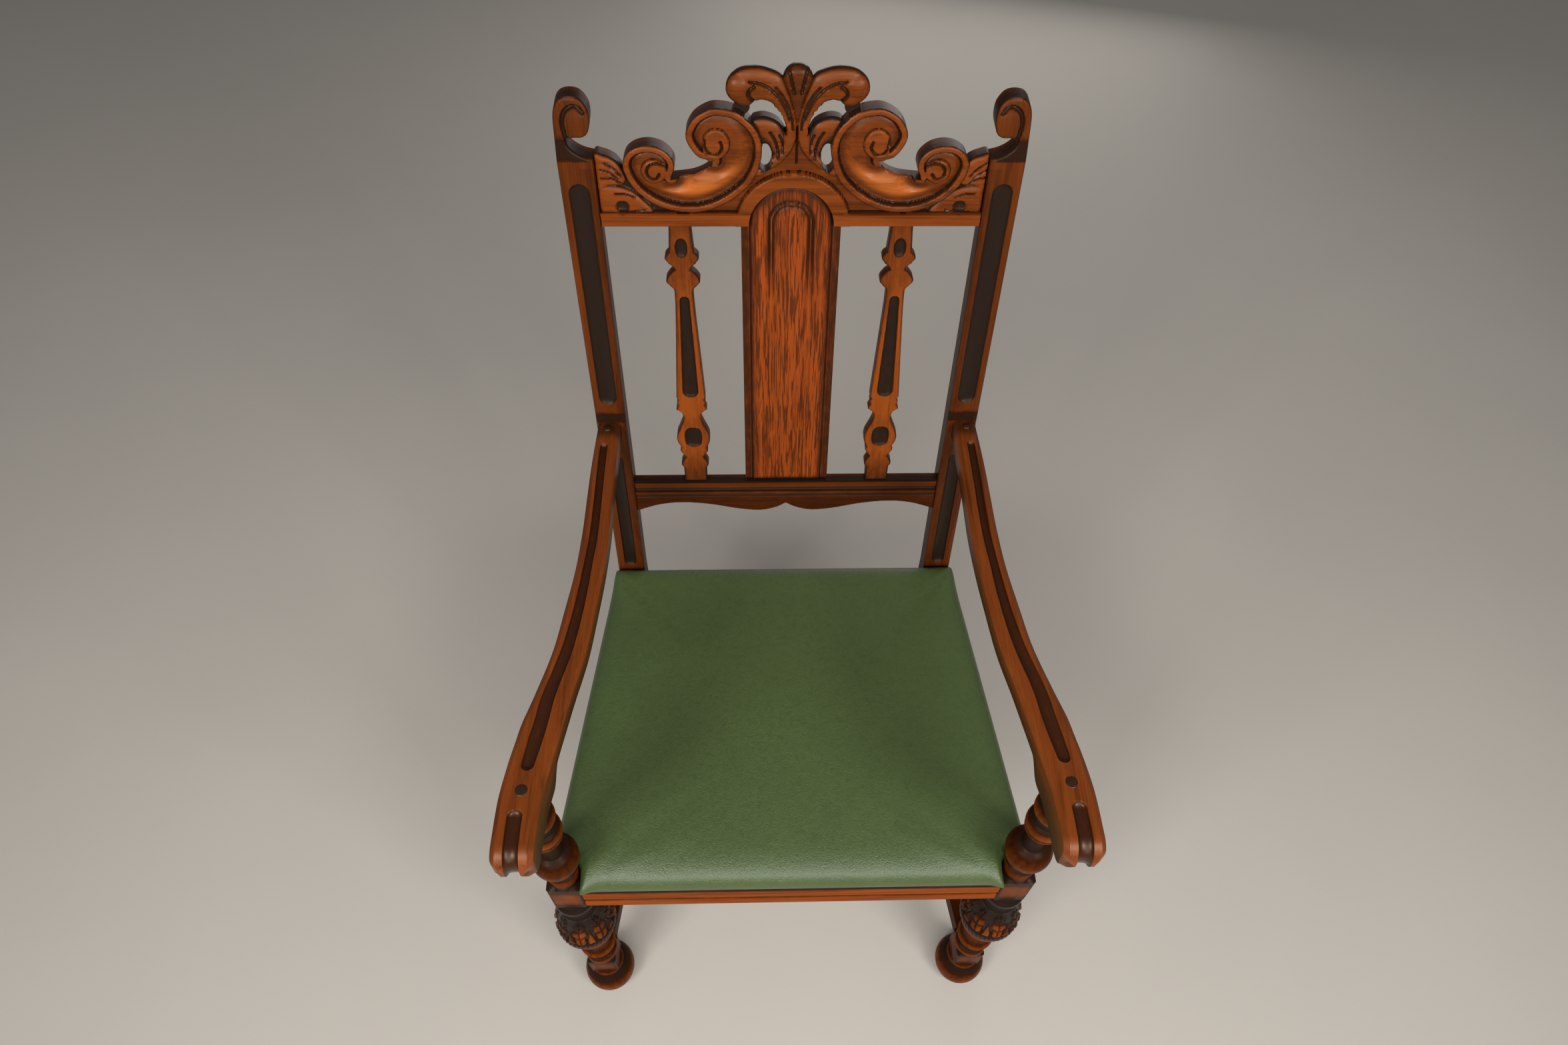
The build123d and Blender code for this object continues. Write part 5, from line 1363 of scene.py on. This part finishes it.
def wood_material(name, stain, along, worn_and_sheen, light, mid, dark, seed, shine, pores=0.35, gloss=0.36,
                  pore_scale=(1500, 45), pore_ramp=(0.56, 0.70), streaks=0.38, lean=0.0, varnish=0.0):
    """Polished wood: broad figure, fine fibre and dark pores along the grain, stained in the hollows.

    The stain value of a point takes the wood through umber to near-black above 0, and to its pale tone below
    0, which is wear of the polish. In a few places the value is painted light: painted shade above 0, and a
    painted sheen on the crest's C-scrolls below 0. The grain may lean back from the axis, and varnish is the
    shine that the deepest stain adds.
    """
    material, tree, shader = new_material(name)
    turned = add_node(tree, "ShaderNodeVectorRotate", {"Angle": lean}, rotation_type="X_AXIS")
    join(tree, object_place(tree), turned.inputs["Vector"])
    place = turned.outputs["Vector"]
    figure = grain_texture(tree, place, along, 55, 3.2, 4, seed, 0.9)
    fibre = grain_texture(tree, place, along, 420, 9, 5, seed + 3, 0.2)
    pore = grain_texture(tree, place, along, *pore_scale, 2, seed + 7)
    patch = grain_texture(tree, place, along, 160, 60, 3, seed + 11)
    value = stretched(tree, figure, 1 - streaks, math_node(tree, "MULTIPLY", fibre, streaks))
    colour = ramp_colour(tree, value, [(0.30, dark), (0.47, mid), (0.70, light)])
    pore_mask = ramp_colour(tree, pore, [(pore_ramp[0], (0, 0, 0)), (pore_ramp[1], (1, 1, 1))])
    pore_amount = math_node(tree, "MULTIPLY", pore_mask, pores)
    colour = mix_colour(tree, pore_amount, colour, dark)
    amount = add_node(tree, "ShaderNodeAttribute", attribute_name="stain").outputs["Fac"]
    ragged = math_node(tree, "MULTIPLY", math_node(tree, "SUBTRACT", patch, 0.5), 0.5)
    stained = math_node(tree, "GREATER_THAN", amount, 0.02)
    varied = stretched(tree, ragged, stained, amount, clamp=True)
    # Below 0 the stain takes the wood to the pale tone: wear of the polish, and on the crest's C-scrolls a
    # painted sheen
    lightened = math_node(tree, "MULTIPLY", amount, -1.0, clamp=True)
    thin = ramp_colour(tree, value, [(0.32, scaled(worn_and_sheen, 0.5)), (0.5, scaled(worn_and_sheen, 0.9)), (0.66, worn_and_sheen)])
    colour = mix_colour(tree, lightened, colour, thin)
    umber = math_node(tree, "MULTIPLY", varied, 1.7, clamp=True)
    colour = mix_colour(tree, umber, colour, scaled(dark, 0.75))
    black = stretched(tree, varied, 2.4, -1.4, clamp=True)
    colour = mix_colour(tree, black, colour, stain)
    join(tree, colour, shader.inputs["Base Color"])
    join(tree, stretched(tree, fibre, 0.2, gloss - 0.08), shader.inputs["Roughness"])
    add_bump(tree, shader, math_node(tree, "SUBTRACT", fibre, pore_amount), 0.2, 0.0004)
    join(tree, stretched(tree, black, varnish, shine), shader.inputs["Specular IOR Level"])
    shader.inputs["Specular Tint"].default_value = (1.0, 0.76, 0.55, 1.0)
    return material


# Finish of each group of pieces: grain axis, tone, shine, roughness, varnish in the stain, lean of the
# grain and the place of the grain in the noise
polish_tones = {
    "crest": ("X", 0.70, 0.2, 0.3, 0.0, rake, 1.0),
    "posts": ("Z", 0.38, 0.15, 0.36, 0.0, rake, 5.0),
    "balusters": ("Z", 0.92, 0.12, 0.36, 0.0, rake, 6.0),
    "lower_rail": ("X", 0.36, 0.1, 0.36, 0.0, rake, 3.0),
    "front_rail": ("X", 1.0, 0.02, 0.5, 0.0, 0.0, 4.0),
    "arms": ("Y", 0.64, 0.34, 0.34, 0.2, 0.0, 9.0),
    "legs": ("Z", 0.62, 0.02, 0.28, 0.05, 0.0, 7.0),
    # The rails and stretchers under the seat are toned very dark: painted shade under the seat
    "side_rails": ("Y", 0.16, 0.04, 0.36, 0.0, 0.0, 8.0),
    "cross_rails": ("X", 0.2, 0.04, 0.36, 0.0, 0.0, 2.0),
}


def walnut(context, group):
    """Walnut polish of one group of pieces, as dark as that group is."""
    colours = context.scene.armchair_colours
    name = "walnut_" + group
    if name in bpy.data.materials:
        return bpy.data.materials[name]
    along, tone, shine, gloss, varnish, lean, seed = polish_tones[group]
    shades = [scaled(colour, tone) for colour in (
        colours.polish_worn_and_sheen, colours.polish_light, colours.polish_mid, colours.polish_dark)]
    return wood_material(name, tuple(colours.stain), along, *shades, seed, shine, gloss=gloss, lean=lean,
                         varnish=varnish)


def oak(context):
    """Oak of the splat, with long dark streaks."""
    colours = context.scene.armchair_colours
    light, dark = np.array(colours.oak_light), np.array(colours.oak_dark)
    shades = (tuple(light * 1.15), tuple(light), tuple((light * 2 + dark) / 3), tuple(dark))
    return wood_material("oak_splat", tuple(colours.stain), "Z", *shades, 21.0, 0.15, pores=0.85, gloss=0.4,
                         pore_scale=(600, 26), pore_ramp=(0.49, 0.56), streaks=0.5, lean=rake)


def vinyl_material(context):
    """Green vinyl: a fine pebbled grain, soft creases and a satin shine."""
    green = tuple(context.scene.armchair_colours.vinyl)
    material, tree, shader = new_material("green_vinyl")
    place = object_place(tree)
    tone = noise_texture(tree, place, Scale=9.0, Detail=4.0, Roughness=0.6)
    crease = noise_texture(tree, place, Scale=150.0, Detail=6.0, Roughness=0.62, Distortion=1.2)
    pebble = add_node(tree, "ShaderNodeTexVoronoi", {"Scale": 620.0, "Randomness": 1.0})
    join(tree, place, pebble.inputs["Vector"])
    colour = ramp_colour(tree, tone, [(0.25, scaled(green, 0.88)), (0.55, green), (0.8, scaled(green, 1.1))])
    # Painted shade: the low places of the crease noise, which are the dips of the bump, are darkened
    below = math_node(tree, "SUBTRACT", 0.55, crease, clamp=True)
    pit = math_node(tree, "MULTIPLY", below, 1.6, clamp=True)
    join(tree, mix_colour(tree, pit, colour, scaled(green, 0.6)), shader.inputs["Base Color"])
    grain = math_node(tree, "MULTIPLY", crease, 1.1)
    add_bump(tree, shader, stretched(tree, pebble.outputs["Distance"], -0.5, grain), 0.46, 0.0011)
    join(tree, stretched(tree, crease, 0.25, 0.29), shader.inputs["Roughness"])
    shader.inputs["Specular IOR Level"].default_value = 0.56
    return material


def plain_material(name, first, second, scale, rough, metal=0.0):
    """Finish of a hidden piece or the floor: two tones in a noise, with a slight bump."""
    material, tree, shader = new_material(name)
    noise = noise_texture(tree, object_place(tree), Scale=scale, Detail=5.0, Roughness=0.6)
    join(tree, ramp_colour(tree, noise, [(0.3, first), (0.7, second)]), shader.inputs["Base Color"])
    shader.inputs["Metallic"].default_value = metal
    join(tree, stretched(tree, noise, 0.2, rough - 0.1), shader.inputs["Roughness"])
    add_bump(tree, shader, noise, 0.15, 0.0005)
    return material


def finish_nodes(names, material):
    """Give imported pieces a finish."""
    for name in names:
        piece = bpy.data.objects[name]
        piece.data.materials.clear()
        piece.data.materials.append(material)


# Operators


class ARMCHAIR_OT_crest(bpy.types.Operator):
    """Carve the crest rail: C-scrolls, leaves, palmette and arch on a pierced board"""
    bl_idname = "armchair.crest"
    bl_label = "Crest Rail"

    def execute(self, context):
        sizes = context.scene.armchair_sizes
        step = sizes.carving_step / MM
        across = grid_steps(-post_inner, post_inner, step)
        along = grid_steps(0, crest_height + 0.8, step)
        shape = carved_board(across, along, crest_distance, crest_face(sizes), crest_rear,
                             lambda x, y, depth: on_back(x, crest_base + y, depth))
        add_piece("carved_crest", *shape, walnut(context, "crest"), "walnut", ["crest_rail"])
        return {"FINISHED"}


class ARMCHAIR_OT_posts(bpy.types.Operator):
    """Shape the two rear posts, with their flutes and scrolled tops"""
    bl_idname = "armchair.posts"
    bl_label = "Rear Posts"

    def execute(self, context):
        across = grid_steps(post_inner - 1, post_outer, 1.0)
        along = np.concatenate([grid_steps(0, block_base, 12), grid_steps(block_base, block_top, 8)[1:],
                                grid_steps(block_top, post_rows_top, 1.15)[1:]])
        shape = carved_board(across, along, post_distance, post_face(context.scene.armchair_sizes),
                             post_thickness, place_post, side_stain=0.86)
        add_pair("fluted_post", shape, walnut(context, "posts"), "walnut", "rear_post")
        return {"FINISHED"}


class ARMCHAIR_OT_splat(bpy.types.Operator):
    """Shape the oak splat with its raised arched field"""
    bl_idname = "armchair.splat"
    bl_label = "Splat"

    def execute(self, context):
        across = grid_steps(-splat_half, splat_half, 0.95)
        along = grid_steps(splat_foot, crest_base + splat_half, 1.6)
        shape = carved_board(across, along, lambda x, up: arched(x, up, splat_half, crest_base), splat_face,
                             splat_back, on_back, side_stain=0.5)
        add_piece("arched_splat", *shape, oak(context), "oak", ["back_splat"])
        return {"FINISHED"}


class ARMCHAIR_OT_balusters(bpy.types.Operator):
    """Shape the two fretted balusters beside the splat"""
    bl_idname = "armchair.balusters"
    bl_label = "Balusters"

    def execute(self, context):
        across = grid_steps(baluster_x - baluster_reach, baluster_x + baluster_reach, 0.75)
        along = grid_steps(up_at(baluster_foot - 0.5), up_at(baluster_top + 0.5), 0.95)
        shape = carved_board(across, along, baluster_distance, baluster_face(context.scene.armchair_sizes),
                             splat_back, on_back, side_stain=0.9)
        add_pair("fretted_baluster", shape, walnut(context, "balusters"), "walnut", "back_baluster")
        return {"FINISHED"}


class ARMCHAIR_OT_lower_rail(bpy.types.Operator):
    """Shape the moulded lower rail of the back"""
    bl_idname = "armchair.lower_rail"
    bl_label = "Lower Back Rail"

    def execute(self, context):
        across = grid_steps(-post_inner, post_inner, 1.6)
        along = grid_steps(up_at(lower_rail_low), up_at(lower_rail_top), 0.8)
        shape = carved_board(across, along, lower_rail_distance, lower_rail_face,
                             lower_rail_back, on_back, side_stain=0.97)
        add_piece("moulded_lower_rail", *shape, walnut(context, "lower_rail"), "walnut", ["lower_back_rail"])
        return {"FINISHED"}


class ARMCHAIR_OT_front_rail(bpy.types.Operator):
    """Shape the front seat rail with its grooved face"""
    bl_idname = "armchair.front_rail"
    bl_label = "Front Seat Rail"

    def execute(self, context):
        half = leg_x - block_half
        face_y = leg_y - block_half
        across = grid_steps(-half, half, 4.0)
        along = grid_steps(rail_base, rail_top, 0.8)
        shape = carved_board(across, along, lambda x, z: box_distance(x, z, -half, half, rail_base, rail_top),
                             rail_face, rail_depth,
                             lambda x, z, depth: np.stack([x, face_y + depth, z], -1), side_stain=0.5)
        add_piece("grooved_front_rail", *shape, walnut(context, "front_rail"), "walnut", ["front_seat_rail"])
        return {"FINISHED"}


class ARMCHAIR_OT_arms(bpy.types.Operator):
    """Shape the two arms, grooved on top and rounded at the hand"""
    bl_idname = "armchair.arms"
    bl_label = "Arms"

    def execute(self, context):
        shape = arm_shape(context.scene.armchair_sizes)
        add_pair("grooved_arm", shape, walnut(context, "arms"), "walnut", "arm")
        return {"FINISHED"}


class ARMCHAIR_OT_arm_buttons(bpy.types.Operator):
    """Turn the plugs over the front legs and the pegs at the rear ends of the arms"""
    bl_idname = "armchair.arm_buttons"
    bl_label = "Arm Plugs and Pegs"

    def execute(self, context):
        polish = walnut(context, "arms")
        peg_x, peg_y = peg_place
        for name, node, x, y, top, size in (
                ("plug_buttons", "arm_front_plugs", leg_x, leg_y, arm_front_top, plug_size),
                ("peg_buttons", "arm_rear_pegs", peg_x, leg_y + peg_y, arm_rear_top, peg_size)):
            buttons = [turned_button(side * x, y, top - button_sink, *size) for side in (-1, 1)]
            add_piece(name, *joined(buttons), polish, "walnut", [node])
        return {"FINISHED"}


class ARMCHAIR_OT_front_legs(bpy.types.Operator):
    """Turn and carve the two front legs"""
    bl_idname = "armchair.front_legs"
    bl_label = "Front Legs"

    def execute(self, context):
        shape = leg_shape(context.scene.armchair_sizes)
        add_pair("turned_leg", shape, walnut(context, "legs"), "walnut", "front_leg")
        return {"FINISHED"}


class ARMCHAIR_OT_seat(bpy.types.Operator):
    """Upholster the seat: a crowned pad, filled by cloth under pressure"""
    bl_idname = "armchair.seat"
    bl_label = "Seat Pad"

    def execute(self, context):
        seat = add_piece("seat_pad", *seat_form(), vinyl_material(context), "vinyl",
                         ["seat_cover", "seat_foam"], sharp=80)
        fill_seat(seat, context.scene.armchair_sizes.seat_swell)
        soften = seat.modifiers.new("soften", "SUBSURF")
        soften.levels = 1
        soften.render_levels = 1
        return {"FINISHED"}


class ARMCHAIR_OT_frame_finish(bpy.types.Operator):
    """Polish the rails and stretchers, and finish the pieces under the seat"""
    bl_idname = "armchair.frame_finish"
    bl_label = "Frame Finish"

    def execute(self, context):
        # Painted shade: the frame under the seat takes the very dark side_rails and cross_rails tones
        finish_nodes(["rear_seat_rail", "cross_stretcher"], walnut(context, "cross_rails"))
        finish_nodes(["left_seat_rail", "right_seat_rail", "left_side_stretcher", "right_side_stretcher"],
                     walnut(context, "side_rails"))
        beech = plain_material("beech", (0.42, 0.26, 0.13), (0.56, 0.37, 0.20), 60.0, 0.6)
        blocks = [side + end + "_corner_block" for side in ("left_", "right_") for end in ("front", "rear")]
        finish_nodes(blocks + ["arm_rear_dowels"], beech)
        steel = plain_material("zinc_steel", (0.42, 0.42, 0.40), (0.62, 0.61, 0.58), 300.0, 0.35, metal=1.0)
        finish_nodes(["corner_block_screws", "seat_screws", "seat_staples", "arm_front_screws"], steel)
        plywood = plain_material("plywood", (0.50, 0.34, 0.18), (0.62, 0.45, 0.27), 40.0, 0.7)
        finish_nodes(["seat_board"], plywood)
        return {"FINISHED"}


class ARMCHAIR_OT_stage(bpy.types.Operator):
    """Set the pale floor, the soft lights and the camera"""
    bl_idname = "armchair.stage"
    bl_label = "Stage"

    def execute(self, context):
        scene = context.scene
        build_floor(tuple(scene.armchair_colours.floor))
        build_lights()
        build_camera()
        scene.view_settings.view_transform = "Standard"
        return {"FINISHED"}


def build_floor(colour):
    """Large flat floor with a faint cloudy tone."""
    reach = 12.0
    mesh = bpy.data.meshes.new("floor")
    mesh.from_pydata([(-reach, -reach, 0), (reach, -reach, 0), (reach, reach, 0), (-reach, reach, 0)], [],
                     [(0, 1, 2, 3)])
    floor = bpy.data.objects.new("floor", mesh)
    bpy.context.scene.collection.objects.link(floor)
    mesh.materials.append(plain_material("pale_floor", scaled(colour, 0.97), scaled(colour, 1.02), 1.3, 0.75))


def build_lights():
    """Soft lamps on both sides and in front, a low fill from behind, and a pale world."""
    lamps = [
        ("left_lamp", (-1.15, -1.45, 2.0), (0, 0.05, 0.7), 33, 0.7),
        ("front_lamp", (0.1, -2.1, 2.0), (0, 0.0, 0.6), 42, 2.0),
        ("right_lamp", (1.15, -1.4, 2.0), (0, 0.0, 0.7), 29, 0.7),
        ("back_lamp", (0.6, 2.6, 1.0), (0, 0.1, 0.7), 10, 1.6),
    ]
    for name, place, aim, power, size in lamps:
        light = bpy.data.lights.new(name, "AREA")
        light.energy = power
        light.size = size
        lamp = bpy.data.objects.new(name, light)
        direction = Vector(aim) - Vector(place)
        lamp.location = place
        lamp.rotation_euler = direction.to_track_quat("-Z", "Y").to_euler()
        bpy.context.scene.collection.objects.link(lamp)
    world = bpy.data.worlds.new("studio")
    world.use_nodes = True
    background = world.node_tree.nodes["Background"]
    background.inputs["Color"].default_value = (0.95, 0.96, 1.0, 1)
    background.inputs["Strength"].default_value = 0.17
    bpy.context.scene.world = world


# Place of the camera from the middle between the leg axes, and its tilt, turn and roll in degrees
camera_place = (-37.95, -377.96, 1732.0)
camera_turns = (54.718, -2.5496, 1.602)


def build_camera():
    """Camera above the front of the chair, looking steeply down at it, as in the photograph."""
    pitch, yaw, roll = (math.radians(angle) for angle in camera_turns)
    turn = Matrix.Rotation(yaw, 3, "Z")
    ahead = turn @ Vector((0, math.cos(pitch), -math.sin(pitch)))
    above = turn @ Vector((0, math.sin(pitch), math.cos(pitch)))
    right = turn @ Vector((1, 0, 0))
    across = math.cos(roll) * right + math.sin(roll) * above
    upward = -math.sin(roll) * right + math.cos(roll) * above
    data = bpy.data.cameras.new("photo_camera")
    data.lens = 24
    data.sensor_width = 36
    camera = bpy.data.objects.new("photo_camera", data)
    bpy.context.scene.collection.objects.link(camera)
    place = Matrix((across, upward, -ahead)).transposed().to_4x4()
    place.translation = (Vector(camera_place) + Vector((0, leg_y, 0))) * MM
    camera.matrix_world = place
    bpy.context.scene.camera = camera


operators = [
    ARMCHAIR_OT_stage, ARMCHAIR_OT_crest, ARMCHAIR_OT_posts, ARMCHAIR_OT_splat, ARMCHAIR_OT_balusters,
    ARMCHAIR_OT_lower_rail, ARMCHAIR_OT_front_rail, ARMCHAIR_OT_arms, ARMCHAIR_OT_arm_buttons,
    ARMCHAIR_OT_front_legs, ARMCHAIR_OT_seat, ARMCHAIR_OT_frame_finish,
]


class ARMCHAIR_PT_panel(bpy.types.Panel):
    """List of the armchair's pieces, sizes and colours"""
    bl_idname = "ARMCHAIR_PT_panel"
    bl_label = "Armchair"
    bl_space_type = "VIEW_3D"
    bl_region_type = "UI"
    bl_category = "Armchair"

    def draw(self, context):
        for group in (context.scene.armchair_sizes, context.scene.armchair_colours):
            for name in group.__annotations__:
                self.layout.prop(group, name)
        for operator in operators:
            self.layout.operator(operator.bl_idname)


classes = [ArmchairSizes, ArmchairColours, *operators, ARMCHAIR_PT_panel]


def register():
    """Add the classes, and the sizes and colours on the scene."""
    for cls in classes:
        bpy.utils.register_class(cls)
    bpy.types.Scene.armchair_sizes = bpy.props.PointerProperty(type=ArmchairSizes)
    bpy.types.Scene.armchair_colours = bpy.props.PointerProperty(type=ArmchairColours)


def unregister():
    """Remove what register added."""
    del bpy.types.Scene.armchair_colours
    del bpy.types.Scene.armchair_sizes
    for cls in reversed(classes):
        bpy.utils.unregister_class(cls)


def main():
    """Build the whole chair on its stage."""
    register()
    for operator in operators:
        group, name = operator.bl_idname.split(".")
        getattr(getattr(bpy.ops, group), name)()


if __name__ == "__main__":
    main()
